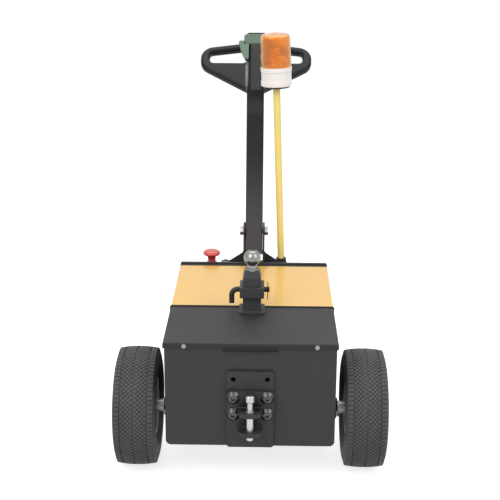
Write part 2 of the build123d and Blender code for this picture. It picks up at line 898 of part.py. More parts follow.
def caster_fork():
    y = caster_from_axle
    inner = caster_width / 2 + fork_side_gap
    outer = inner + fork_sheet
    low = crown_top - fork_crown
    crown = post(swivel_dia, 0, y, low, crown_top)
    foot = fork_foot_dia / 2
    body = crown + post(kingpin_dia, 0, y, low, rear_clearance - kingpin_sink)
    front = caster_axle_y - foot
    near = y - fork_leg / 2
    back = y + fork_leg / 2
    for side in (-1, 1):
        x0 = min(side * inner, side * outer)
        leg = plate_yz([(front, caster_axle_z), (caster_axle_y + foot, caster_axle_z), (back, low),
                        (back, crown_top), (near, crown_top), (near, low)], x0, x0 + fork_sheet)
        body += leg + bar(fork_foot_dia, x0, x0 + fork_sheet, caster_axle_y, caster_axle_z)
    bore = bar(caster_bolt_dia + 2 * running_fit, -swivel_dia, swivel_dia, caster_axle_y, caster_axle_z)
    return body - bore


def caster_bolt():
    outer = caster_width / 2 + fork_side_gap + fork_sheet
    body = bar(caster_bolt_dia, -outer, outer, caster_axle_y, caster_axle_z)
    for side in (-1, 1):
        hexagon = extrude(Plane.YZ * RegularPolygon(caster_head_dia / 2, 6), side * caster_head)
        body += Pos(side * outer, caster_axle_y, caster_axle_z) * hexagon
    return body


def caster_hub():
    body = bar(caster_dia - 2 * caster_tread, -caster_width / 2, caster_width / 2, 0, 0)
    recess_dia = caster_dia - 2 * (caster_tread + caster_rim)
    boss = caster_width / 2 + fork_side_gap - caster_boss_gap
    for side in (-1, 1):
        x0 = min(side * (caster_width / 2 - caster_recess), side * caster_width / 2)
        x1 = x0 + caster_recess
        body -= bar(recess_dia, x0, x1, 0, 0) - bar(caster_boss_dia, x0, x1, 0, 0)
        body += bar(caster_boss_dia, min(0, side * boss), max(0, side * boss), 0, 0)
    body -= bar(caster_bolt_dia + 2 * running_fit, -caster_width, caster_width, 0, 0)
    return Pos(0, caster_axle_y, caster_axle_z) * body


def caster_tyre():
    seat = caster_dia - 2 * caster_tread
    ring = bar(caster_dia, -caster_width / 2, caster_width / 2, 0, 0)
    ring = fillet(ring.edges().filter_by(GeomType.CIRCLE), caster_tread_round)
    ring -= bar(seat, -caster_width, caster_width, 0, 0)
    return Pos(0, caster_axle_y, caster_axle_z) * ring


# Heavy masses inside

def battery_pack():
    half = battery_width / 2
    front_bay = (drive_depth / 2, step_start, floor_top)
    rear_bay = (step_start + step_run, rear_y, rear_floor_top)
    blocks = []
    for start, end, z in (front_bay, rear_bay):
        blocks.append(slab(-half, half, start + battery_gap, end - battery_gap, z, z + battery_height))
    return blocks


def drive_unit():
    half = drive_width / 2
    deep = drive_depth / 2
    box = rounded(slab(-half, half, -deep, deep, floor_top, floor_top + drive_height), Axis.X, corner_round)
    motor = post(motor_dia, 0, 0, floor_top + drive_height, floor_top + drive_height + motor_height)
    body = box + motor
    return body - bar(axle_dia + 2 * running_fit, -drive_width, drive_width, 0, axle_height)


# Left and right pieces

def on_axle(solid):
    return Pos(wheel_x, 0, axle_height) * solid


def both_sides(name, solid):
    return {name + "_right": solid, name + "_left": mirror(solid, Plane.YZ)}


nodes = {
    "front_plate": front_plate(),
    **both_sides("side_plate", side_plate()),
    "floor_pan": floor_pan(),
    "rear_plate": rear_plate(),
    "cross_beam": cross_beam(),
    "hood_front": hood_front(),
    "hood_rear": hood_rear(),
    "rear_console": rear_console(),
    "hitch_plate": hitch_plate(),
    "hitch_clevis": hitch_clevis(),
    "tow_pin": tow_pin(),
    "ball_receiver": ball_receiver(),
    "ball_mount": ball_mount(),
    "hitch_ball": hitch_ball(),
    "receiver_pin": receiver_pin(),
    "tiller_bracket": tiller_bracket(),
    "tiller_pivot_bolt": pivot_bolt(),
    "tiller_tube": tiller_tube(),
    "handle_loop": handle_loop(),
    "control_head": control_head(),
    "throttle_wings": throttle_wings(),
    "belly_switch": belly_switch(),
    "beacon_foot": beacon_foot(),
    "beacon_pole": beacon_pole(),
    "beacon_cradle": beacon_cradle(),
    "beacon_base": beacon_base(),
    "beacon_lens": beacon_lens(),
    "beacon_lamp": beacon_lamp(),
    "stop_button_base": stop_base(),
    "stop_button": stop_button(),
    "key_switch": key_switch(),
    "battery_gauge": battery_gauge(),
    **both_sides("axle_bearing", axle_bearing()),
    **both_sides("half_shaft", on_axle(half_shaft())),
    **both_sides("wheel_rim", on_axle(rim_dish())),
    **both_sides("wheel_tyre", on_axle(tyre_ring())),
    "caster_plate": caster_plate(),
    "caster_fork": caster_fork(),
    "caster_bolt": caster_bolt(),
    "caster_hub": caster_hub(),
    "caster_tyre": caster_tyre(),
    "battery_pack": battery_pack(),
    "drive_unit": drive_unit(),
}

front_reach = nodes["hitch_clevis"].bounding_box().min.Y
rear_reach = nodes["belly_switch"].bounding_box().max.Y
middle_y = (front_reach + rear_reach) / 2
to_floor_middle = Pos(0, -middle_y, 0)

os.makedirs("parts", exist_ok=True)
for name, shape in nodes.items():
    solids = [to_floor_middle * solid for solid in (shape if isinstance(shape, list) else [shape])]
    placed = solids[0] if len(solids) == 1 else Compound(children=solids)
    export_step(placed, f"parts/{name}.step")
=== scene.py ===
import math

import bpy
from mathutils import Matrix, Vector


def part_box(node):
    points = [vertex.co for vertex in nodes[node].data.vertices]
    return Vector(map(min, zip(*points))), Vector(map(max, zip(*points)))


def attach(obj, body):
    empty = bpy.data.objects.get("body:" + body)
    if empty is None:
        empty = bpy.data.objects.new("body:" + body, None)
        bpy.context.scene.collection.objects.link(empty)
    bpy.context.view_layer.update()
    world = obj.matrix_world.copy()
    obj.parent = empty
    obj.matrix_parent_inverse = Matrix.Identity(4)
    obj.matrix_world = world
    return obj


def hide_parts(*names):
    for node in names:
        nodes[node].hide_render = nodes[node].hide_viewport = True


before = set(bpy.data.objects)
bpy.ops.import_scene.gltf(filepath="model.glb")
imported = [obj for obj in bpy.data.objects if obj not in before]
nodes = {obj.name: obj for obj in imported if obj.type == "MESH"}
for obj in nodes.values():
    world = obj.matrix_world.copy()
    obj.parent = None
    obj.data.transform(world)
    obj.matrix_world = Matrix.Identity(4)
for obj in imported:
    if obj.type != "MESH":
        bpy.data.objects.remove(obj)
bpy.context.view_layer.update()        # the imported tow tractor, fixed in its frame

sides = (("left", -1), ("right", 1))
tiny = 0.00001        # points this near are one point
print("frame loaded with", len(nodes), "nodes")


# Working in Blender: selecting, naming and finishing a piece

def deselectAll():
    if bpy.context.mode != "OBJECT":
        bpy.ops.object.mode_set(mode="OBJECT")
    bpy.ops.object.select_all(action="DESELECT")


def makeActive(piece):
    deselectAll()
    piece.select_set(True)
    bpy.context.view_layer.objects.active = piece


def startEdit(piece):
    makeActive(piece)
    bpy.ops.object.mode_set(mode="EDIT")
    bpy.ops.mesh.select_mode(type="VERT")


def editAll(piece):        # edit mode with everything picked
    startEdit(piece)
    bpy.ops.mesh.select_all(action="SELECT")


def pullOut(step):        # edit mode, extrudes what is picked
    bpy.ops.mesh.extrude_region_move(TRANSFORM_OT_translate={"value": step})


def endEdit():
    bpy.ops.object.mode_set(mode="OBJECT")


def namePiece(name):        # the primitive just added
    piece = bpy.context.active_object
    piece.name = name
    piece.data.name = name
    bpy.ops.object.transform_apply(location=True, rotation=True, scale=True)
    return piece


def pickEdges(piece, test):        # edit mode, by the two ends
    bpy.ops.mesh.select_mode(type="EDGE")
    bpy.ops.mesh.select_all(action="DESELECT")
    bpy.ops.object.mode_set(mode="OBJECT")
    points = piece.data.vertices
    for edge in piece.data.edges:
        first, second = (points[index].co for index in edge.vertices)
        edge.select = test(first, second)
    bpy.ops.object.mode_set(mode="EDIT")


def closeUp(piece):        # doubles merged, then normals outwards
    editAll(piece)
    bpy.ops.mesh.remove_doubles(threshold=tiny)
    bpy.ops.mesh.normals_make_consistent(inside=False)
    endEdit()


def smoothByAngle(piece, degrees):
    makeActive(piece)
    bpy.ops.object.shade_smooth_by_angle(angle=math.radians(degrees))


def joinPieces(name, pieces):
    deselectAll()
    for piece in pieces:
        piece.select_set(True)
    bpy.context.view_layer.objects.active = pieces[0]
    if len(pieces) > 1:
        bpy.ops.object.join()
    whole = bpy.context.active_object
    whole.name = name
    whole.data.name = name
    return whole


def copyTo(source, place):        # a copy with its own mesh, moved in the mesh
    piece = source.copy()
    piece.data = source.data.copy()
    bpy.context.scene.collection.objects.link(piece)
    piece.data.transform(place)
    return piece


def dropPiece(piece):
    bpy.data.objects.remove(piece)


def finishPiece(piece, finish, body, replaced=()):
    piece.data.materials.clear()
    piece.data.materials.append(finish)
    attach(piece, body)
    if replaced:
        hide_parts(*replaced)
    return piece


def middleOf(node):
    low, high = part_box(node)
    return (low + high) / 2


def facing(point, direction):        # +Z of a model turned to a direction at a point
    turn = Vector((0, 0, 1)).rotation_difference(Vector(direction))
    return Matrix.Translation(point) @ turn.to_matrix().to_4x4()


def drawProfile(name, points):        # one vertex pulled out from point to point
    deselectAll()
    bpy.ops.mesh.primitive_plane_add(size=0.001, location=points[0])
    piece = namePiece(name)
    editAll(piece)
    bpy.ops.mesh.merge(type="CENTER")
    for here, there in zip(points, points[1:]):
        pullOut(Vector(there) - Vector(here))
    endEdit()
    return piece


def spinRound(piece, centre, axis, steps):
    editAll(piece)
    bpy.ops.mesh.spin(steps=steps, angle=2 * math.pi, center=centre, axis=axis)
    endEdit()
    closeUp(piece)


def turnPiece(name, points, steps):        # as on a lathe, from points across and up
    piece = drawProfile(name, [Vector((across, 0, up)) for across, up in points])
    spinRound(piece, (0, 0, 0), (0, 0, 1), steps)
    return piece


def bentWire(name, points, radius, bend):        # round wire along straight runs with rounded corners
    curve = bpy.data.curves.new(name, "CURVE")
    curve.dimensions = "3D"
    curve.bevel_depth = radius
    curve.bevel_resolution = 5
    curve.use_fill_caps = True
    line = curve.splines.new("NURBS")
    spread = [Vector(points[0])]
    for before, corner, after in zip(points, points[1:], points[2:]):
        corner = Vector(corner)
        for side in (before, after):
            run = Vector(side) - corner
            spread.append(corner + run.normalized() * min(bend, run.length / 2))
    spread.append(Vector(points[-1]))
    line.points.add(len(spread) - 1)
    for point, place in zip(line.points, spread):
        point.co = (*place, 1)
    line.order_u = 3
    line.use_endpoint_u = True
    line.resolution_u = 8
    wire = bpy.data.objects.new(name, curve)
    bpy.context.scene.collection.objects.link(wire)
    makeActive(wire)
    bpy.ops.object.convert(target="MESH")
    return bpy.context.active_object


# Shader node groups shared by the finishes

def setValues(node, values):        # each a plain value, or the output that feeds the input
    for key, value in values.items():
        if isinstance(value, bpy.types.NodeSocket):
            node.id_data.links.new(value, node.inputs[key])
        else:
            node.inputs[key].default_value = value


def addNode(tree, kind, values=None, **settings):        # gives the new node's outputs
    made = tree.nodes.new("ShaderNode" + kind)
    for key, value in settings.items():
        setattr(made, key, value)
    setValues(made, values or {})
    return made.outputs


def doMath(tree, operation, first, second, clamp=False):
    return addNode(tree, "Math", {0: first, 1: second}, operation=operation, use_clamp=clamp)["Value"]


def spanValue(tree, value, goal=(0.0, 1.0), source=(0.0, 1.0)):
    return addNode(tree, "MapRange", {"Value": value, "From Min": source[0], "From Max": source[1],
                                      "To Min": goal[0], "To Max": goal[1]})["Result"]


def newGroup(name, inputs, outputs):        # every group reads its place from Vector
    group = bpy.data.node_groups.new(name, "ShaderNodeTree")
    for label, value in {"Vector": (0.0, 0.0, 0.0), **inputs}.items():
        kind = "NodeSocketVector" if isinstance(value, tuple) else "NodeSocketFloat"
        group.interface.new_socket(name=label, in_out="INPUT", socket_type=kind).default_value = value
    for label in outputs:
        kind = "NodeSocketVector" if label == "Normal" else "NodeSocketFloat"
        group.interface.new_socket(name=label, in_out="OUTPUT", socket_type=kind)
    return group, group.nodes.new("NodeGroupInput").outputs, group.nodes.new("NodeGroupOutput")


def addNoise(group, start, detail, rough, stir=0.0):        # placed and scaled by the group's inputs
    return addNode(group, "TexNoise", {"Vector": start["Vector"], "Scale": start["Scale"], "Detail": detail,
                                       "Roughness": rough, "Distortion": stir})["Fac"]


def timesAmount(group, start, first, second):
    both = doMath(group, "MULTIPLY", first, second)
    return doMath(group, "MULTIPLY", both, start["Amount"], clamp=True)


def makePeelGroup():        # fine orange peel of a powder coat or a mould's spark texture
    group, start, end = newGroup("finePeel", {"Scale": 700.0}, ["Height"])
    cells = addNode(group, "TexVoronoi", {"Vector": start["Vector"], "Scale": start["Scale"], "Randomness": 1.0},
                    feature="SMOOTH_F1")["Distance"]
    setValues(end, {"Height": doMath(group, "ADD", addNoise(group, start, 2.0, 0.55), cells)})
    return group


def makeEdgeGroup():        # rounded normals, and where the coat is rubbed through at the edges
    group, start, end = newGroup("rubbedEdges", {"Radius": 0.002, "Amount": 0.5, "Scale": 60.0}, ["Mask", "Normal"])
    rounded = addNode(group, "Bevel", {"Radius": start["Radius"]}, samples=6)["Normal"]
    shape = addNode(group, "NewGeometry")["Normal"]
    along = addNode(group, "VectorMath", {0: rounded, 1: shape}, operation="DOT_PRODUCT")["Value"]
    away = spanValue(group, along, source=(0.995, 0.8))
    worn = spanValue(group, addNoise(group, start, 5.0, 0.65), source=(0.46, 0.66))
    setValues(end, {"Mask": timesAmount(group, start, away, worn), "Normal": rounded})
    return group


def makeDustGroup():        # dust that lies on what faces up
    group, start, end = newGroup("settledDust", {"Amount": 0.3, "Scale": 14.0}, ["Mask"])
    split = addNode(group, "SeparateXYZ", {"Vector": addNode(group, "TexCoord")["Normal"]})
    up = spanValue(group, split["Z"], (0.15, 1.0), source=(0.1, 1.0))
    thin = spanValue(group, addNoise(group, start, 6.0, 0.7), source=(0.35, 0.75))
    setValues(end, {"Mask": timesAmount(group, start, up, thin)})
    return group


def makeHandledGroup():        # slow change over the surface, where hands and cloths have been
    group, start, end = newGroup("handledPatches", {"Scale": 7.0}, ["Value"])
    setValues(end, {"Value": spanValue(group, addNoise(group, start, 4.0, 0.6, 0.4), source=(0.3, 0.7))})
    return group


def makeSpotGroup():        # soft oval spot around a place, broken up at its rim
    group, start, end = newGroup("softSpot", {"Place": (0.0, 0.0, 0.0), "Reach": (1.0, 1.0, 1.0), "Soft": 0.3,
                                              "Scale": 90.0}, ["Mask"])
    away = addNode(group, "VectorMath", {0: start["Vector"], 1: start["Place"]}, operation="SUBTRACT")["Vector"]
    share = addNode(group, "VectorMath", {0: away, 1: start["Reach"]}, operation="DIVIDE")["Vector"]
    length = addNode(group, "VectorMath", {0: share}, operation="LENGTH")["Value"]
    wander = spanValue(group, addNoise(group, start, 4.0, 0.6), (-0.18, 0.18))
    rim = doMath(group, "ADD", length, wander)
    inner = doMath(group, "SUBTRACT", 1.0, start["Soft"])
    setValues(end, {"Mask": spanValue(group, rim, (1.0, 0.0), source=(inner, 1.0))})
    return group


peelGroup = makePeelGroup()
edgeGroup = makeEdgeGroup()
dustGroup = makeDustGroup()
handledGroup = makeHandledGroup()
spotGroup = makeSpotGroup()


def useGroup(tree, group, coord, values):
    return addNode(tree, "Group", {"Vector": coord, **values}, node_tree=group)


def newFinish(name):
    finish = bpy.data.materials.new(name)
    finish.use_nodes = True
    tree = finish.node_tree
    return finish, tree, tree.nodes["Principled BSDF"], addNode(tree, "TexCoord")["Object"]


def mixColour(tree, mask, *colours):        # two, each a colour or an output
    first, second = ((*colour, 1) if isinstance(colour, tuple) else colour for colour in colours)
    return addNode(tree, "Mix", {"Factor": mask, 6: first, 7: second}, data_type="RGBA")[2]


def coatFinish(name, look):        # powder coats, paints and moulded plastics
    finish, tree, shader, coord = newFinish(name)
    handled = useGroup(tree, handledGroup, coord, {"Scale": 7.0})["Value"]
    edges = useGroup(tree, edgeGroup, coord, {
        "Radius": look.get("edge", 0.0015), "Amount": look.get("wear", 0.3), "Scale": 60.0})
    dust = useGroup(tree, dustGroup, coord, {"Amount": look["dust"], "Scale": 14.0})["Mask"]
    peel = useGroup(tree, peelGroup, coord, {"Scale": look["grain"]})["Height"]
    shade = look.get("shade", 0.12)
    darker = tuple(part * (1 - shade) for part in look["base"])
    lighter = tuple(min(1.0, part * (1 + shade)) for part in look["base"])
    colour = mixColour(tree, handled, darker, lighter)
    colour = mixColour(tree, edges["Mask"], colour, look.get("worn", (0.3, 0.3, 0.3)))
    colour = mixColour(tree, dust, colour, (0.35, 0.33, 0.3))
    for place, reach, soft, stain in look.get("stains", ()):
        spot = useGroup(tree, spotGroup, coord, {"Place": place, "Reach": reach, "Soft": soft})["Mask"]
        colour = mixColour(tree, spot, colour, stain)
    bump = addNode(tree, "Bump", {"Strength": look["bump"], "Distance": look.get("depth", 0.0002), "Height": peel,
                                  "Normal": edges["Normal"]})["Normal"]
    setValues(shader, {"Base Color": colour, "Roughness": spanValue(tree, handled, look["rough"]), "Normal": bump,
                       "Specular IOR Level": look.get("shine", 0.5), "Coat Weight": look.get("coat", 0.0),
                       "Coat Roughness": look.get("coatRough", 0.1)})
    return finish


def metalFinish(name, look):        # plated and polished steel
    finish, tree, shader, coord = newFinish(name)
    handled = useGroup(tree, handledGroup, coord, {"Scale": 25.0})["Value"]
    edges = useGroup(tree, edgeGroup, coord, {"Radius": 0.0008, "Amount": 0.4, "Scale": 90.0})
    stretch = addNode(tree, "Mapping", {"Vector": coord, "Scale": (400.0, 400.0, 400.0)})["Vector"]
    lines = addNode(tree, "TexNoise", {"Vector": stretch, "Scale": 1.0, "Detail": 3.0})["Fac"]
    colour = mixColour(tree, handled, look["base"], look["tint"])
    colour = mixColour(tree, edges["Mask"], colour, look.get("worn", (0.8, 0.8, 0.8)))
    bump = addNode(tree, "Bump", {"Strength": look["bump"], "Distance": 0.0001, "Height": lines,
                                  "Normal": edges["Normal"]})["Normal"]
    setValues(shader, {"Base Color": colour, "Roughness": spanValue(tree, lines, look["rough"]), "Normal": bump,
                       "Metallic": 1.0})
    return finish


def wheelRubber(name, centre, look):        # rubber with worn tread faces and dust in the grooves
    finish, tree, shader, coord = newFinish(name)
    shift = addNode(tree, "Mapping", {"Vector": coord, "Location": (0.0, -centre.y, -centre.z),
                                      "Scale": (0.0, 1.0, 1.0)})["Vector"]
    reach = addNode(tree, "VectorMath", {0: shift}, operation="LENGTH")["Value"]
    faces = spanValue(tree, reach, source=(look["radius"] - look["tread"], look["radius"] - look["tread"] * 0.2))
    peel = useGroup(tree, peelGroup, coord, {"Scale": look["grain"]})["Height"]
    handled = useGroup(tree, handledGroup, coord, {"Scale": 18.0})["Value"]
    dust = useGroup(tree, handledGroup, coord, {"Scale": 55.0})["Value"]
    colour = mixColour(tree, handled, look["base"], look["aged"])
    colour = mixColour(tree, doMath(tree, "MULTIPLY", faces, look["rubbed"]), colour, look["face"])
    colour = mixColour(tree, doMath(tree, "MULTIPLY", dust, look["dust"]), colour, look["dustColour"])
    bump = addNode(tree, "Bump", {"Strength": 0.35, "Distance": 0.0003, "Height": peel})["Normal"]
    setValues(shader, {"Base Color": colour, "Roughness": spanValue(tree, handled, look["rough"]), "Normal": bump,
                       "Specular IOR Level": 0.4})
    return finish


def lensFinish(name, look):        # clear coloured plastic, made paler towards its rims where seen edge-on: a painted sheen
    finish, tree, shader, coord = newFinish(name)
    handled = useGroup(tree, handledGroup, coord, {"Scale": 30.0})["Value"]
    rim = addNode(tree, "LayerWeight", {"Blend": 0.35})["Facing"]
    colour = mixColour(tree, handled, look["base"], look["deep"])
    # painted sheen: the colour turns pale where the lens is seen edge-on
    colour = mixColour(tree, rim, colour, look["edge"])
    setValues(shader, {"Base Color": colour, "Roughness": spanValue(tree, handled, look["rough"]), "IOR": 1.49,
                       "Transmission Weight": look["clear"], "Coat Weight": 0.25, "Coat Roughness": 0.06})
    return finish


# Finishes of this machine

powder = {"rough": (0.44, 0.58), "grain": 900.0, "bump": 0.35, "wear": 0.35, "worn": (0.11, 0.11, 0.11), "dust": 0.03,
          "shine": 0.34}
moulded = {"rough": (0.42, 0.56), "grain": 1400.0, "bump": 0.3, "depth": 0.00015, "edge": 0.001, "wear": 0.25,
           "worn": (0.08, 0.08, 0.08), "dust": 0.02, "shine": 0.22}

blackPowder = coatFinish("blackPowder", {**powder, "base": (0.0275, 0.0265, 0.0275)})
hoodBlackPaintedShade = coatFinish("hoodBlackPaintedShade", {        # the front cover's flatter coat, its base made darker as painted shade against the light on its top
    **powder, "base": (0.0245, 0.0235, 0.0245), "rough": (0.5, 0.62), "shine": 0.25})
tubeBlack = coatFinish("tubeBlack", {        # smoother coat, paler towards the pivot
    **powder, "base": (0.0095, 0.0095, 0.0095), "rough": (0.36, 0.48), "bump": 0.25, "worn": (0.09, 0.09, 0.09),
    "dust": 0.02, "shine": 0.22, "stains": [((0.0, 0.2, 0.50), (0.2, 0.3, 0.26), 0.85, (0.062, 0.058, 0.066))]})
mountBlackPaintedLight = coatFinish("mountBlackPaintedLight", {        # the ball's post and receiver: base made lighter as painted light against the shade on their faces, and edges rubbed paler
    **powder, "base": (0.042, 0.040, 0.045), "edge": 0.002, "wear": 0.5, "worn": (0.14, 0.14, 0.14)})
clevisBlackPaintedShade = coatFinish("clevisBlackPaintedShade", {        # the clevis, with painted shade around its pin between the jaws
    **powder, "base": (0.0275, 0.0265, 0.0275), "wear": 0.5, "worn": (0.14, 0.14, 0.14), "dust": 0.02,
    # painted shade: a near-black spot around the pin where the jaws shade the flange
    "stains": [((0.0, -0.476, 0.232), (0.036, 0.03, 0.052), 0.35, (0.004, 0.004, 0.004))]})
blackPlastic = coatFinish("blackPlastic", {**moulded, "base": (0.0125, 0.0125, 0.013)})
handlePlastic = coatFinish("handlePlastic", {        # the loop handle: its neck, and painted highlights along the corners of its spine
    **moulded, "base": (0.006, 0.006, 0.0064), "rough": (0.27, 0.38), "wear": 0.3, "worn": (0.1, 0.1, 0.1),
    "shine": 0.18,
    "stains": [((0.0, 0.308, 0.889), (0.06, 0.05, 0.042), 0.45, (0.027, 0.028, 0.028)),
               # pale strips along both corners of the spine: painted highlights where light catches them
               *[((way * 0.0285, 0.40, 0.972), (0.0065, 0.105, 0.078), 0.75, (0.24, 0.252, 0.255))
                 for way in (-1, 1)]]})
yellowPowder = coatFinish("yellowPowder", {        # glossy enough to mirror the pole
    "base": (0.713, 0.417, 0.079), "rough": (0.3, 0.4), "grain": 800.0, "bump": 0.1, "wear": 0.25,
    "worn": (0.85, 0.62, 0.3), "dust": 0.04, "shade": 0.03, "coat": 0.5, "coatRough": 0.06})
poleYellow = coatFinish("poleYellow", {
    "base": (0.90, 0.72, 0.22), "rough": (0.35, 0.45), "grain": 800.0, "bump": 0.15, "edge": 0.001, "wear": 0.2,
    "worn": (0.9, 0.75, 0.4), "dust": 0.05, "shade": 0.04})
rimPaint = coatFinish("rimPaint", {
    "base": (0.52, 0.53, 0.54), "rough": (0.3, 0.42), "grain": 900.0, "bump": 0.12, "edge": 0.001,
    "wear": 0.4, "worn": (0.3, 0.29, 0.28), "dust": 0.12, "coat": 0.2})
green = {"rough": (0.38, 0.5), "grain": 1300.0, "bump": 0.2, "edge": 0.001, "wear": 0.2, "worn": (0.16, 0.24, 0.19),
         "dust": 0.04, "shine": 0.38}
greenPlastic = coatFinish("greenPlastic", {**green, "base": (0.052, 0.098, 0.058)})
wingGreen = coatFinish("wingGreen", {**green, "base": (0.078, 0.140, 0.095)})
lampWhite = coatFinish("lampWhite", {
    "base": (0.88, 0.84, 0.80), "rough": (0.25, 0.35), "grain": 1200.0, "bump": 0.08, "edge": 0.001,
    "wear": 0.1, "worn": (0.7, 0.68, 0.64), "dust": 0.08, "shade": 0.03})
redPlastic = coatFinish("redPlastic", {
    "base": (0.60, 0.055, 0.055), "rough": (0.2, 0.32), "grain": 1200.0, "bump": 0.08, "edge": 0.0008,
    "wear": 0.2, "worn": (0.75, 0.2, 0.18), "dust": 0.05, "coat": 0.4})
casterRubber = coatFinish("casterRubber", {
    "base": (0.055, 0.054, 0.053), "rough": (0.6, 0.8), "grain": 900.0, "bump": 0.3, "edge": 0.001,
    "wear": 0.5, "worn": (0.13, 0.125, 0.12), "dust": 0.15})
casterCore = coatFinish("casterCore", {
    "base": (0.30, 0.31, 0.32), "rough": (0.4, 0.55), "grain": 1200.0, "bump": 0.15, "edge": 0.001,
    "wear": 0.2, "worn": (0.45, 0.45, 0.45), "dust": 0.12})
batteryCase = coatFinish("batteryCase", {
    "base": (0.05, 0.05, 0.055), "rough": (0.4, 0.55), "grain": 1200.0, "bump": 0.2, "dust": 0.25})
driveCasting = coatFinish("driveCasting", {
    "base": (0.2, 0.2, 0.21), "rough": (0.5, 0.65), "grain": 300.0, "bump": 0.5, "depth": 0.0005, "dust": 0.2})
zincSteel = metalFinish("zincSteel", {
    "base": (0.41, 0.41, 0.42), "tint": (0.50, 0.495, 0.48), "rough": (0.24, 0.42), "bump": 0.08})
dullZinc = metalFinish("dullZinc", {
    "base": (0.25, 0.25, 0.255), "tint": (0.31, 0.308, 0.30), "rough": (0.3, 0.45), "bump": 0.08})
darkBolt = metalFinish("darkBolt", {
    "base": (0.075, 0.075, 0.078), "tint": (0.105, 0.103, 0.10), "rough": (0.22, 0.36), "bump": 0.08,
    "worn": (0.36, 0.36, 0.35)})
chromeBall = metalFinish("chromeBall", {
    "base": (0.24, 0.25, 0.235), "tint": (0.29, 0.295, 0.28), "rough": (0.24, 0.34), "bump": 0.03})
amberLens = lensFinish("amberLens", {
    # the edge colour is the painted sheen at the lens's rims
    "base": (1.0, 0.50, 0.022), "deep": (1.0, 0.40, 0.008), "edge": (1.0, 0.74, 0.42), "rough": (0.13, 0.23),
    "clear": 0.85})

nodeFinish = {
    blackPowder: ["front_plate", "side_plate_left", "side_plate_right", "floor_pan", "rear_plate", "cross_beam",
                  "hitch_plate", "receiver_pin", "tiller_bracket", "beacon_foot", "axle_bearing_left",
                  "axle_bearing_right"],
    mountBlackPaintedLight: ["ball_receiver", "ball_mount"],
    clevisBlackPaintedShade: ["hitch_clevis"],
    hoodBlackPaintedShade: ["hood_front"],
    handlePlastic: ["handle_loop"],
    tubeBlack: ["tiller_tube"],
    blackPlastic: ["rear_console", "stop_button_base", "battery_gauge", "beacon_cradle", "belly_switch"],
    yellowPowder: ["hood_rear"],
    poleYellow: ["beacon_pole"],
    zincSteel: ["tow_pin", "tiller_pivot_bolt", "half_shaft_left", "half_shaft_right", "caster_plate",
                "caster_fork", "caster_bolt"],
    dullZinc: ["key_switch"],
    chromeBall: ["hitch_ball"],
    rimPaint: ["wheel_rim_left", "wheel_rim_right"],
    casterRubber: ["caster_tyre"],
    casterCore: ["caster_hub"],
    greenPlastic: ["control_head"],
    wingGreen: ["throttle_wings"],
    amberLens: ["beacon_lens"],
    lampWhite: ["beacon_base", "beacon_lamp"],
    redPlastic: ["stop_button"],
    batteryCase: ["battery_pack"],
    driveCasting: ["drive_unit"],
}
for finish, names in nodeFinish.items():
    for name in names:
        for held in nodes[name].material_slots:
            held.material = finish
print("finishes on the CAD nodes")


# Drive tyres: a carcass spun from its profile, with small tread blocks around it

tyreLook = {
    "treadDepth": 0.0032, "crownDrop": 0.005, "halfTread": 0.053, "beadHalf": 0.044, "beadSeat": 0.0762,
    "pitches": 84, "spinSteps": 112, "sidePoints": 12, "crownPoints": 6,
    "blockBevel": 0.0006, "blockMiddle": 0.7, "blockHigh": 1.4,        # the last two in tread depths
    "shrink": 0.0002,
    "rows": [        # across, length across, width around, turn, share of a pitch it stands ahead
        *[(0.0066 + 0.00615 * row, 0.0073, 0.0073, 45, row % 2 / 2) for row in range(5)],
        (0.0447, 0.0150, 0.0106, 0, 0.5)],
    "rings": [        # place down the sidewall from 0 to 1, half width, height
        (0.14, 0.018, 0.0007), (0.25, 0.018, 0.0007), (0.62, 0.030, 0.0012), (0.88, 0.035, 0.0016)],
    "ringTop": 0.6, "ringClear": 1.3,        # in half widths
    "ringSink": 0.0012,        # the wall lies this deep, so its rings stay in the tyre's box
}


def threePointArc(first, middle, last, share):        # place on the arc through three points
    a, b, c = (complex(*point) for point in (first, middle, last))
    w = (c - a) / (b - a)
    centre = a + (b - a) * (w * w.conjugate() - w) / (w.conjugate() - w)
    spoke = a - centre
    turn = math.atan2(((c - centre) / spoke).imag, ((c - centre) / spoke).real)
    place = centre + spoke * complex(math.cos(turn * share), math.sin(turn * share))
    away = (place - centre) / abs(spoke)
    return place, away


def tyreHalfProfile(radius, halfWidth, seat):        # (across, radius) from the crown's middle to the bead
    base = radius - tyreLook["treadDepth"]
    half = tyreLook["halfTread"]
    points = []
    for step in range(tyreLook["crownPoints"] + 1):
        across = half * step / tyreLook["crownPoints"]
        points.append((across, base - tyreLook["crownDrop"] * (across / half) ** 2))
    corner = points[-1]
    bulge = (halfWidth, (seat + radius) / 2)
    bead = (tyreLook["beadHalf"], seat)
    wall = [(step / tyreLook["sidePoints"], 0.0) for step in range(1, tyreLook["sidePoints"] + 1)]
    for place, wide, high in tyreLook["rings"]:
        flat = wide * tyreLook["ringTop"]
        wall = [spot for spot in wall if abs(spot[0] - place) > wide * tyreLook["ringClear"]]
        wall += [(place - wide, 0.0), (place - flat, high), (place + flat, high), (place + wide, 0.0)]
    for share, high in sorted(wall):
        place, away = threePointArc(corner, bulge, bead, share)
        lifted = place + away * (high - tyreLook["ringSink"])
        points.append((lifted.real, lifted.imag))
    points.append((tyreLook["beadHalf"], tyreLook["beadSeat"]))
    return points


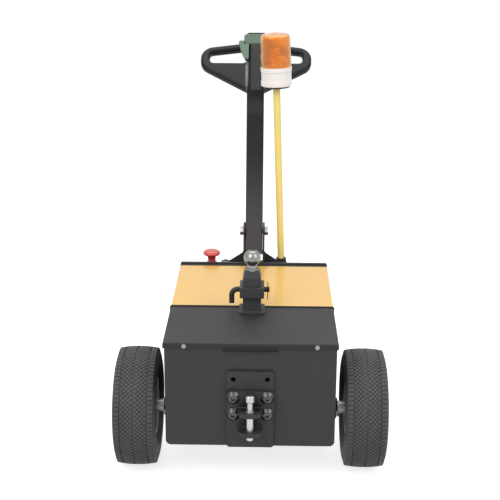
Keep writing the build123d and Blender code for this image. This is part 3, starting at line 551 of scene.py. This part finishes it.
def makeTyre(name, node, side):
    low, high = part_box(node)
    centre = (low + high) / 2
    radius = (high.z - low.z) / 2
    halfWidth = (high.x - low.x) / 2
    rimLow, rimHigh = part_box("wheel_rim_" + side)
    seat = (rimHigh.z - rimLow.z) / 2
    half = tyreHalfProfile(radius, halfWidth, seat)
    whole = [(-across, reach) for across, reach in reversed(half)] + half[1:]
    outline = [Vector((centre.x + across, centre.y, centre.z + reach)) for across, reach in whole]
    carcass = drawProfile(name, outline + outline[:1])
    spinRound(carcass, centre, (1, 0, 0), tyreLook["spinSteps"])

    deselectAll()
    bpy.ops.mesh.primitive_cube_add(size=0.001, location=centre)
    tread = namePiece(name + "Tread")
    editAll(tread)
    bpy.ops.mesh.delete(type="VERT")
    pitch = 2 * math.pi / tyreLook["pitches"]
    for across, length, width, turn, ahead in tyreLook["rows"]:
        for way in (-1, 1):
            swing = pitch * (ahead if way > 0 else ahead + 0.5)        # the two halves are staggered
            slope = math.atan(2 * tyreLook["crownDrop"] * across / tyreLook["halfTread"] ** 2)
            drop = tyreLook["crownDrop"] * (across / tyreLook["halfTread"]) ** 2
            reach = radius - tyreLook["shrink"] - drop - tyreLook["treadDepth"] * tyreLook["blockMiddle"]
            turned = (Matrix.Rotation(swing, 3, "X") @ Matrix.Rotation(way * slope, 3, "Y")
                      @ Matrix.Rotation(math.radians(way * turn), 3, "Z"))
            place = centre + Matrix.Rotation(swing, 3, "X") @ Vector((way * across, 0, reach))
            bpy.ops.mesh.select_all(action="DESELECT")
            bpy.ops.mesh.primitive_cube_add(size=1, location=place, rotation=turned.to_euler("XYZ"),
                                            scale=(length, width, tyreLook["treadDepth"] * tyreLook["blockHigh"]))
            bpy.ops.mesh.bevel(offset=tyreLook["blockBevel"], segments=1, affect="EDGES")
    bpy.ops.mesh.select_all(action="SELECT")
    count = tyreLook["pitches"]
    bpy.ops.mesh.spin(steps=count - 1, dupli=True, angle=pitch * (count - 1), center=centre, axis=(1, 0, 0))
    endEdit()
    tyre = joinPieces(name, [carcass, tread])
    editAll(tyre)
    bpy.ops.mesh.normals_make_consistent(inside=False)
    endEdit()
    smoothByAngle(tyre, 40)
    rubber = wheelRubber(name + "Rubber", centre, {
        "radius": radius, "tread": tyreLook["treadDepth"], "grain": 700.0, "rough": (0.62, 0.85),
        "base": (0.049, 0.048, 0.046), "aged": (0.064, 0.062, 0.059), "face": (0.081, 0.079, 0.076),
        "rubbed": 0.85, "dust": 0.2, "dustColour": (0.13, 0.124, 0.115)})
    return finishPiece(tyre, rubber, "wheel_" + side, [node])


for side, way in sides:
    makeTyre("tyre_" + side, "wheel_tyre_" + side, side)
print("tyres modelled")


# Bolts, nuts and screws, each kind modelled once and copied

boltLook = {"thread": 0.0015, "chamfer": 0.06, "bore": 0.2, "corner": 0.35, "domeSteps": 8, "keyBevel": 0.0003}


def flatRing(name, outer, inner, height, base):        # washer, spun
    points = [(inner, base), (outer * 0.97, base), (outer, base + height * 0.3), (outer, base + height * 0.8),
              (outer * 0.97, base + height), (inner, base + height), (inner, base)]
    return turnPiece(name, points, steps=32)


def hexBlock(name, across, height, base, chamfer):        # hexagon with its top corners turned off
    deselectAll()
    bpy.ops.mesh.primitive_cylinder_add(vertices=6, radius=across / math.sqrt(3), depth=height,
                                        location=(0, 0, base + height / 2))
    block = namePiece(name)
    top = base + height
    startEdit(block)
    pickEdges(block, lambda a, b: min(a.z, b.z) > top - tiny)
    bpy.ops.mesh.bevel(offset=chamfer, segments=2, affect="EDGES")
    pickEdges(block, lambda a, b: abs(a.z - b.z) > height / 3)
    bpy.ops.mesh.bevel(offset=chamfer * boltLook["corner"], segments=2, affect="EDGES")
    endEdit()
    return block


def threadEnd(name, radius, height, base):        # bolt end with a chamfer and thread rings
    turns = max(2, int(height / boltLook["thread"]))
    points = [(0, base + height), (radius * 0.8, base + height)]
    for turn in range(turns):
        level = base + height - (turn + 0.5) * height / turns
        points += [(radius, level + height / turns * 0.1), (radius * 0.9, level - height / turns * 0.3)]
    points += [(radius * 0.9, base), (0, base)]
    return turnPiece(name, points, steps=24)


def makeBolt(name, size):        # across flats, head, washer and stud of one fastener
    across, head, washer = size["across"], size["head"], size["washer"]
    parts = [hexBlock(name, across, head, washer, across * boltLook["chamfer"]),
             flatRing(name + "Washer", size["washerDia"] / 2, across * boltLook["bore"], washer, 0.0)]
    if "stud" in size:
        parts.append(threadEnd(name + "Stud", size["studDia"] / 2, size["stud"], washer + head))
    bolt = joinPieces(name, parts)
    closeUp(bolt)
    smoothByAngle(bolt, 30)
    return bolt


def makeDomeBolt(name, size):        # wide domed head on a flange, with a hexagon socket
    reach, high, rim = size["dia"] / 2, size["head"], size["rim"]
    points = [(0.0, 0.0), (reach, 0.0), (reach, rim * 0.7), (reach * 0.96, rim)]
    for step in range(1, boltLook["domeSteps"] + 1):
        share = step / boltLook["domeSteps"]
        across = reach * 0.93 * (1 - share) + size["flat"] * share
        points.append((across, rim + (high - rim) * math.sin(share * math.pi / 2) ** 0.9))
    points.append((0.0, high))
    head = turnPiece(name, points, steps=36)
    deselectAll()
    bpy.ops.mesh.primitive_cylinder_add(vertices=6, radius=size["socket"] / math.sqrt(3), depth=2 * size["sunk"],
                                        location=(0, 0, high))
    key = namePiece(name + "Key")
    editAll(key)
    bpy.ops.mesh.bevel(offset=boltLook["keyBevel"], segments=1, affect="EDGES")
    endEdit()
    makeActive(head)
    cut = head.modifiers.new("socket", "BOOLEAN")
    cut.operation = "DIFFERENCE"
    cut.object = key
    bpy.ops.object.modifier_apply(modifier=cut.name)
    dropPiece(key)
    smoothByAngle(head, 30)
    return head


boltKinds = {
    "lug": {"across": 0.017, "head": 0.009, "washer": 0.002, "washerDia": 0.023, "stud": 0.006, "studDia": 0.011},
    "lip": {"across": 0.0095, "head": 0.004, "washer": 0.0014, "washerDia": 0.0128},
    "bearing": {"across": 0.013, "head": 0.006, "washer": 0.0018, "washerDia": 0.019},
    "plate": {"across": 0.013, "head": 0.0055, "washer": 0.0018, "washerDia": 0.019},
    "small": {"across": 0.007, "head": 0.003, "washer": 0.001, "washerDia": 0.0105},
}
domeKinds = {
    "hitch": {"dia": 0.0365, "head": 0.0115, "rim": 0.003, "flat": 0.0072, "socket": 0.0115, "sunk": 0.006},
}
boltModels = {kind: makeBolt("bolt_" + kind, size) for kind, size in boltKinds.items()}
boltModels.update({kind: makeDomeBolt("bolt_" + kind, size) for kind, size in domeKinds.items()})


def setBolts(name, kind, places, direction, body, finish=zincSteel):
    copies = [copyTo(boltModels[kind], facing(place, direction)) for place in places]
    return finishPiece(joinPieces(name, copies), finish, body)


def setIn(low, high, edge):        # two places, each in from one end of a span
    return low + edge, high - edge


frontLow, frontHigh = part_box("front_plate")
hoodLow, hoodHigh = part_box("hood_front")
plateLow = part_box("hitch_plate")[0]

hitchBolts = {"across": 0.090, "first": 0.103, "pitch": 0.048, "rows": (0, 1), "flange": 0.008}
clevisFace = plateLow.y - hitchBolts["flange"]
setBolts("hitch_bolts", "hitch",
         [(way * hitchBolts["across"] / 2, clevisFace, plateLow.z + hitchBolts["first"] + row * hitchBolts["pitch"])
          for row in hitchBolts["rows"] for way in (-1, 1)],
         (0, -1, 0), "chassis", darkBolt)

lipScrews = {"across": 0.350, "height": 0.4058, "lip": 0.004}
lipFace = frontLow.y - lipScrews["lip"]
setBolts("lip_screws", "lip",
         [(way * lipScrews["across"] / 2, lipFace, lipScrews["height"]) for way in (-1, 1)],
         (0, -1, 0), "chassis", dullZinc)

lugNuts = {"count": 4, "circle": 0.036, "disc": 0.004}
for side, way in sides:
    middle = middleOf("wheel_tyre_" + side)
    places = []
    for step in range(lugNuts["count"]):
        angle = 2 * math.pi * (step + 0.5) / lugNuts["count"]
        places.append((middle.x + way * lugNuts["disc"], middle.y + lugNuts["circle"] * math.cos(angle),
                       middle.z + lugNuts["circle"] * math.sin(angle)))
    setBolts("lug_nuts_" + side, "lug", places, (way, 0, 0), "wheel_" + side)

bearingBolts = {"span": 0.084, "plate": 0.008}
axle = middleOf("wheel_rim_right")
for side, way in sides:
    face = frontHigh.x + bearingBolts["plate"]
    setBolts("bearing_bolts_" + side, "bearing",
             [(way * face, axle.y + ahead * bearingBolts["span"] / 2, axle.z) for ahead in (-1, 1)],
             (way, 0, 0), "chassis")

bracketLow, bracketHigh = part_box("tiller_bracket")
bracketBolts = {"edge": 0.014, "sheet": 0.008}
bracketTop = bracketLow.z + bracketBolts["sheet"]
bracketCorners = [(x, y, bracketTop) for x in setIn(bracketLow.x, bracketHigh.x, bracketBolts["edge"])
                  for y in setIn(bracketLow.y, bracketHigh.y, bracketBolts["edge"])]
setBolts("bracket_bolts", "plate", bracketCorners[:3], (0, 0, 1), "chassis")        # the pole's foot is on the fourth

casterLow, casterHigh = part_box("caster_plate")
casterBolts = {"edge": 0.012, "sheet": 0.006}
setBolts("caster_bolts", "plate",
         [(x, y, casterHigh.z - casterBolts["sheet"]) for x in setIn(casterLow.x, casterHigh.x, casterBolts["edge"])
          for y in setIn(casterLow.y, casterHigh.y, casterBolts["edge"])],
         (0, 0, -1), "chassis")

consoleLow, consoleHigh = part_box("rear_console")
consoleScrews = {"edge": 0.018}
setBolts("console_screws", "small",
         [(x, consoleHigh.y, z) for x in setIn(consoleLow.x, consoleHigh.x, consoleScrews["edge"])
          for z in setIn(consoleLow.z, consoleHigh.z, consoleScrews["edge"])],
         (0, 1, 0), "chassis", darkBolt)
for model in boltModels.values():
    dropPiece(model)
print("bolts set")


# Weld beads: one ripple modelled once, laid along each joint

weldLook = {"size": 0.0032, "pitch": 0.0019, "squash": (0.62, 1.0, 0.8), "back": 0.0004, "sway": 0.0003, "swing": 2.3}


def makeRipple():        # half of a flattened ball, its back to the joint
    deselectAll()
    bpy.ops.mesh.primitive_uv_sphere_add(segments=12, ring_count=8, radius=weldLook["size"])
    ripple = namePiece("weld_ripple")
    editAll(ripple)
    bpy.ops.transform.resize(value=weldLook["squash"])
    bpy.ops.mesh.bisect(plane_co=(0, 0, -weldLook["back"]), plane_no=(0, 0, 1), clear_inner=True, use_fill=True)
    endEdit()
    return ripple


def layWeld(ripple, name, runs, body):        # runs of (start, end, outward direction)
    copies = []
    for start, end, outward in runs:
        start, end = Vector(start), Vector(end)
        along = (end - start).normalized()
        outward = Vector(outward).normalized()
        across = outward.cross(along)
        turn = Matrix((along, across, outward)).transposed().to_4x4()
        count = int((end - start).length / weldLook["pitch"])
        for step in range(count + 1):
            place = start + (end - start) * (step / count)
            place = place + across * math.sin(step * weldLook["swing"]) * weldLook["sway"]
            copies.append(copyTo(ripple, Matrix.Translation(place) @ turn))
    bead = joinPieces(name, copies)
    smoothByAngle(bead, 60)
    return finishPiece(bead, blackPowder, body)


ripple = makeRipple()
jawLook = {"half": 0.033, "sheet": 0.011, "gap": 0.045, "rise": 0.054}
lowJaw = plateLow.z + jawLook["rise"]
highJaw = lowJaw + jawLook["sheet"] + jawLook["gap"]
jawRuns = []
for level, up in ((lowJaw + jawLook["sheet"], 1), (highJaw, -1), (highJaw + jawLook["sheet"], 1), (lowJaw, -1)):
    jawRuns.append(((-jawLook["half"], clevisFace, level), (jawLook["half"], clevisFace, level), (0, -1, up)))
for level in (lowJaw, highJaw):
    for way in (-1, 1):
        jawRuns.append(((way * jawLook["half"], clevisFace, level),
                        (way * jawLook["half"], clevisFace, level + jawLook["sheet"]), (way, -1, 0)))
layWeld(ripple, "jaw_welds", jawRuns, "chassis")

receiverMiddle = middleOf("ball_receiver")
receiverLook = {"half": 0.0255, "deck": 0.419, "round": 0.005}
reach = receiverLook["half"] - receiverLook["round"]
receiverRuns = []
for x, y in ((1, 0), (-1, 0), (0, 1), (0, -1)):
    face = Vector((receiverMiddle.x + x * receiverLook["half"], receiverMiddle.y + y * receiverLook["half"],
                   receiverLook["deck"]))
    run = Vector((y, x, 0)) * reach
    receiverRuns.append((face - run, face + run, (x, y, 1)))
layWeld(ripple, "receiver_welds", receiverRuns, "chassis")

pivot = middleOf("tiller_pivot_bolt")
earLook = {"outer": 0.0335, "foot": 0.028, "gusset": 0.003, "gussetEnd": 0.095, "gussetHigh": 0.041, "room": 0.002}
earStart = earLook["gusset"] + earLook["room"]
earRuns = []
for way in (-1, 1):
    x = way * earLook["outer"]
    for first, last in ((-earLook["foot"], -earStart), (earStart, earLook["foot"])):
        earRuns.append(((x, pivot.y + first, bracketTop), (x, pivot.y + last, bracketTop), (way, 0, 1)))
    for ahead in (-1, 1):
        y = pivot.y + ahead * earLook["gusset"]
        earRuns.append(((x, y, bracketTop), (x, y, bracketTop + earLook["gussetHigh"]), (way, ahead, 0)))
        earRuns.append(((x, y, bracketTop), (way * earLook["gussetEnd"], y, bracketTop), (0, ahead, 1)))
layWeld(ripple, "bracket_welds", earRuns, "chassis")
dropPiece(ripple)
print("welds laid")


# Near-black rubber strips as painted shade: one pressed into the joint between the two covers, one over the pull's
# lower edge

seamShadeLook = {"half": 0.0045, "proud": 0.0024, "foot": 0.0016, "gap": 0.0275, "drop": 0.011, "seam": 0.001,
            "bend": 0.004, "turns": 6}
# near black, to stand as painted shade in the joint and under the pull
shadeStripRubber = coatFinish("shadeStripRubber", {
    "base": (0.007, 0.0068, 0.0065), "rough": (0.6, 0.75), "grain": 1200.0, "bump": 0.2, "edge": 0.0006,
    "wear": 0.1, "worn": (0.05, 0.05, 0.05), "dust": 0.02, "shine": 0.2})


def makeSeamShade(name, way):        # one half of the strip of painted shade in the joint, from the receiver out and down the side
    half, proud, foot, bend = (seamShadeLook[key] for key in ("half", "proud", "foot", "bend"))
    section = [(-half, -foot), (-half, proud * 0.45), (-half * 0.6, proud), (half * 0.6, proud), (half, proud * 0.45),
               (half, -foot), (-half, -foot)]
    start = Vector((way * seamShadeLook["gap"], hoodHigh.y + seamShadeLook["seam"] / 2, hoodHigh.z))
    centre = Vector((way * (hoodHigh.x - bend), start.y, start.z - bend))
    strip = drawProfile(name, [start + Vector((0, y, z)) for y, z in section])
    editAll(strip)
    bpy.ops.mesh.remove_doubles(threshold=tiny)
    bpy.ops.mesh.edge_face_add()
    pullOut((centre.x - start.x, 0, 0))
    for turn in range(seamShadeLook["turns"]):        # round the bend of the cover
        pullOut((0, 0, 0))
        bpy.ops.transform.rotate(value=-way * math.pi / 2 / seamShadeLook["turns"], orient_axis="Y", orient_type="GLOBAL",
                                 center_override=centre)
    pullOut((0, 0, bend - seamShadeLook["drop"]))
    endEdit()
    closeUp(strip)
    return strip


pullShadeLook = {"half": 0.0735, "radius": 0.0023, "out": 0.0045, "up": 0.0009}


def makePullShade(name):        # round near-black edging over the lower edge of the pull, as painted shade under it, its ends rounded off
    deselectAll()
    bpy.ops.mesh.primitive_cylinder_add(vertices=20, radius=pullShadeLook["radius"], depth=2 * pullShadeLook["half"],
                                        location=(0, lipFace - pullShadeLook["out"], hoodLow.z + pullShadeLook["up"]),
                                        rotation=(0, math.pi / 2, 0))
    pullShade = namePiece(name)
    startEdit(pullShade)
    pickEdges(pullShade, lambda a, b: abs(a.x - b.x) < tiny)
    bpy.ops.mesh.bevel(offset=pullShadeLook["radius"] * 0.7, segments=3, affect="EDGES")
    endEdit()
    closeUp(pullShade)
    smoothByAngle(pullShade, 40)
    return pullShade


finishPiece(makePullShade("pull_shade_edging"), shadeStripRubber, "chassis")
seamShade = joinPieces("seam_shade_strip", [makeSeamShade("seam_shade_half", way) for way in (-1, 1)])
smoothByAngle(seamShade, 40)
finishPiece(seamShade, shadeStripRubber, "chassis")
print("seal modelled")


# Hairpin clip through the right end of the receiver's pin

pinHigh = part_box("receiver_pin")[1]
clipLook = {"inset": 0.005, "wire": 0.0013, "bend": 0.005, "pinRadius": 0.0075}
clipPlace = Vector((pinHigh.x - clipLook["inset"], receiverMiddle.y, pinHigh.z - clipLook["pinRadius"]))
clipShape = [(0.0, -0.026), (0.0, 0.012), (-0.001, 0.021), (-0.0065, 0.026), (-0.012, 0.021), (-0.0125, 0.012),
             (-0.0100, 0.004), (-0.0098, -0.004), (-0.0050, -0.013), (-0.0045, -0.019), (-0.009, -0.027)]
clip = bentWire("receiver_clip", [clipPlace + Vector((0, y, z)) for y, z in clipShape], clipLook["wire"],
                clipLook["bend"])
closeUp(clip)
smoothByAngle(clip, 60)
finishPiece(clip, darkBolt, "chassis")


# Flash tube inside the beacon: a coil of glass on a moulded foot

lampLow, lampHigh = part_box("beacon_lamp")
flashLook = {"lean": 2.2, "foot": 0.017, "footHigh": 0.013, "sunk": 0.001,
             "coil": 0.0105, "turns": 3, "turnSteps": 14, "rise": 0.008, "top": 0.053,
             "tube": 0.0032, "tubeBend": 0.002,
             "rod": 0.0014, "rodOut": 0.01395, "rodIn": 0.00775, "rodDrop": 0.004, "bridge": 0.0025, "rodBend": 0.004}


def makeFlash(name):
    lean = math.radians(flashLook["lean"])
    axis = Vector((-math.sin(lean), 0, math.cos(lean)))
    radius = (lampHigh.y - lampLow.y) / 2
    high = (lampHigh.z - lampLow.z - 2 * radius * math.sin(lean)) / math.cos(lean)
    middle = middleOf("beacon_lamp")
    foot = Vector((middle.x - axis.x * high / 2, middle.y, lampLow.z + radius * math.sin(lean)))
    reach, level = flashLook["foot"], flashLook["footHigh"]
    profile = [(0.0, 0.0), (reach, 0.0), (reach, level * 0.45), (reach * 0.93, level * 0.6),
               (reach * 0.9, level * 0.9), (reach * 0.84, level), (0.0, level)]
    base = turnPiece(name, profile, steps=32)
    steps = flashLook["turnSteps"] * flashLook["turns"]
    sunk, start, end = level - flashLook["sunk"], level + flashLook["rise"], flashLook["top"]
    coil = [(flashLook["coil"], 0.0, sunk)]
    for step in range(steps + 1):
        angle = 2 * math.pi * flashLook["turns"] * step / steps
        coil.append((flashLook["coil"] * math.cos(angle), flashLook["coil"] * math.sin(angle),
                     start + (end - start) * step / steps))
    coil += [(0.0, 0.0, end), (0.0, 0.0, sunk)]
    parts = [base, bentWire(name + "Coil", coil, flashLook["tube"], flashLook["tubeBend"])]
    bridge = end + flashLook["bridge"]
    for way in (-1, 1):        # two rods with a bridge wire hold the coil
        out = way * flashLook["rodOut"]
        rod = [(0.0, out, sunk), (0.0, out, end - flashLook["rodDrop"]), (0.0, way * flashLook["rodIn"], bridge),
               (0.0, 0.0, bridge)]
        parts.append(bentWire(name + "Rod", rod, flashLook["rod"], flashLook["rodBend"]))
    flash = joinPieces(name, parts)
    closeUp(flash)
    smoothByAngle(flash, 40)
    flash.data.transform(facing(foot, axis))
    return flash


finishPiece(makeFlash("flash_tube"), lampWhite, "chassis", ["beacon_lamp"])


# Stop button: a smooth mushroom on a flared neck

stopLow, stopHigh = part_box("stop_button")
stopMiddle = middleOf("stop_button")
capRadius = (stopHigh.x - stopLow.x) / 2
stopLook = {
    "stem": [(0.0, 0.0), (0.0145, 0.0), (0.0145, 0.003), (0.01302, 0.006), (0.0126, 0.014), (0.014, 0.021),
             (0.0175, 0.0262)],
    "cap": [(0.84, 0.027), (0.95, 0.0278), (0.99, 0.0298), (1.0, 0.0318), (0.985, 0.0345), (0.93, 0.0372),
            (0.82, 0.0394), (0.64, 0.0410), (0.4, 0.0418), (0.0, 0.042)],        # across in cap radii
}
mushroom = turnPiece("stop_mushroom", stopLook["stem"] + [(capRadius * share, up) for share, up in stopLook["cap"]],
                     steps=64)
mushroom.data.transform(Matrix.Translation((stopMiddle.x, stopMiddle.y, stopLow.z)))
smoothByAngle(mushroom, 50)
finishPiece(mushroom, redPlastic, "chassis", ["stop_button"])


# Valve stems on the rims

valveLook = {
    "out": 0.0145, "circle": 0.0655, "angle": 30,
    "profile": [(0.0, 0.0), (0.0055, 0.0), (0.0050, 0.004), (0.0038, 0.008), (0.0036, 0.020), (0.0042, 0.0205),
                (0.0042, 0.030), (0.0034, 0.0315), (0.0, 0.0315)],
}
valveAngle = math.radians(valveLook["angle"])
for side, way in sides:
    valve = turnPiece("valve_" + side, valveLook["profile"], steps=20)
    smoothByAngle(valve, 40)
    away = Vector((way * valveLook["out"], valveLook["circle"] * math.cos(valveAngle),
                   valveLook["circle"] * math.sin(valveAngle)))
    valve.data.transform(facing(middleOf("wheel_rim_" + side) + away, (way, 0, 0)))
    finishPiece(valve, blackPlastic, "wheel_" + side)


# Charge gauge: a row of lit bars behind the bezel

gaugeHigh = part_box("battery_gauge")[1]
gaugeMiddle = middleOf("battery_gauge")
gaugeLook = {"bars": 10, "pitch": 0.0046, "wide": 0.0032, "high": 0.016, "deep": 0.0012, "recess": 0.0027,
             "round": 0.0004}
barFinish = coatFinish("gaugeBar", {
    "base": (0.10, 0.34, 0.12), "rough": (0.2, 0.3), "grain": 1500.0, "bump": 0.05, "edge": 0.0004, "wear": 0.0,
    "dust": 0.03})
barY = gaugeHigh.y - gaugeLook["recess"] + gaugeLook["deep"] / 2
bars = []
for number in range(gaugeLook["bars"]):
    deselectAll()
    x = gaugeMiddle.x + (number - (gaugeLook["bars"] - 1) / 2) * gaugeLook["pitch"]
    bpy.ops.mesh.primitive_cube_add(size=1, location=(x, barY, gaugeMiddle.z),
                                    scale=(gaugeLook["wide"], gaugeLook["deep"], gaugeLook["high"]))
    bar = namePiece("gauge_bar")
    startEdit(bar)
    pickEdges(bar, lambda a, b: min(a.y, b.y) > barY)
    bpy.ops.mesh.bevel(offset=gaugeLook["round"], segments=2, affect="EDGES")
    endEdit()
    bars.append(bar)
finishPiece(joinPieces("gauge_bars", bars), barFinish, "chassis")
print("clip, flash tube, button, valves and gauge modelled")


# Studio: pale floor, soft light and the camera at the photograph's angle

studio = {
    "place": (0.0355, -3.1158, 1.5555), "pitch": 18.41, "yaw": 0.83, "roll": 0.344, "lens": 79.27, "sensor": 36.0,
    "floorSize": 14.0, "floorColour": (0.58, 0.58, 0.58), "floorGlow": 0.78,
    "worldStrength": 0.55,
    "lamps": [        # place, aim, size, watts, colour
        ((-1.6, -2.4, 3.0), (0, -0.1, 0.45), 2.2, 62, (1.0, 0.985, 0.96)),
        ((2.2, -1.6, 2.4), (0, -0.1, 0.45), 2.0, 34, (0.97, 0.985, 1.0)),
        ((0.0, 1.0, 3.2), (0, 0.0, 0.5), 2.4, 46, (1.0, 1.0, 1.0))],
}


def aimed(place, target):
    return (Vector(target) - Vector(place)).to_track_quat("-Z", "Y").to_euler()


def seenMask(tree):        # what the camera, a mirror or a lens looks at
    seen = addNode(tree, "LightPath")
    both = doMath(tree, "MAXIMUM", seen["Is Camera Ray"], seen["Is Glossy Ray"])
    return doMath(tree, "MAXIMUM", both, seen["Is Transmission Ray"])


def makeFloor():        # seen white, with a soft shadow
    deselectAll()
    bpy.ops.mesh.primitive_plane_add(size=studio["floorSize"])
    floor = namePiece("floor")
    finish, tree, shader, coord = newFinish("paleFloor")
    setValues(shader, {"Base Color": (*studio["floorColour"], 1), "Roughness": 0.9, "Specular IOR Level": 0.0})
    dark = addNode(tree, "Emission", {"Color": (0, 0, 0, 1), "Strength": 0.0})["Emission"]
    glow = addNode(tree, "Emission", {"Color": (1, 1, 1, 1), "Strength": studio["floorGlow"]})["Emission"]
    chosen = addNode(tree, "MixShader", {"Fac": seenMask(tree), 1: dark, 2: glow})["Shader"]
    total = addNode(tree, "AddShader", {0: shader.outputs["BSDF"], 1: chosen})["Shader"]
    setValues(tree.nodes["Material Output"], {"Surface": total})
    floor.data.materials.append(finish)


def makeWorld():        # white behind the machine, softer as a light
    world = bpy.data.worlds.new("studio")
    bpy.context.scene.world = world
    world.use_nodes = True
    tree = world.node_tree
    soft = tree.nodes["Background"]
    setValues(soft, {"Color": (1, 1, 1, 1), "Strength": studio["worldStrength"]})
    white = addNode(tree, "Background", {"Color": (1, 1, 1, 1), "Strength": 1.0})["Background"]
    chosen = addNode(tree, "MixShader", {"Fac": seenMask(tree), 1: soft.outputs["Background"], 2: white})["Shader"]
    setValues(tree.nodes["World Output"], {"Surface": chosen})


def makeLamps():
    for number, (place, target, size, watts, colour) in enumerate(studio["lamps"]):
        deselectAll()
        bpy.ops.object.light_add(type="AREA", location=place, rotation=aimed(place, target))
        lamp = bpy.context.active_object
        lamp.name = "softbox_" + str(number)
        lamp.data.shape = "SQUARE"
        lamp.data.size = size
        lamp.data.energy = watts
        lamp.data.color = colour


def makeCamera():
    deselectAll()
    bpy.ops.object.camera_add()
    camera = bpy.context.active_object
    camera.data.lens = studio["lens"]
    camera.data.sensor_width = studio["sensor"]
    camera.matrix_world = (Matrix.Translation(studio["place"])
                           @ Matrix.Rotation(math.radians(studio["yaw"]), 4, "Z")
                           @ Matrix.Rotation(math.radians(90 - studio["pitch"]), 4, "X")
                           @ Matrix.Rotation(math.radians(studio["roll"]), 4, "Z"))
    bpy.context.scene.camera = camera


makeFloor()
makeWorld()
makeLamps()
makeCamera()
bpy.context.scene.view_settings.view_transform = "Standard"
print("studio ready")
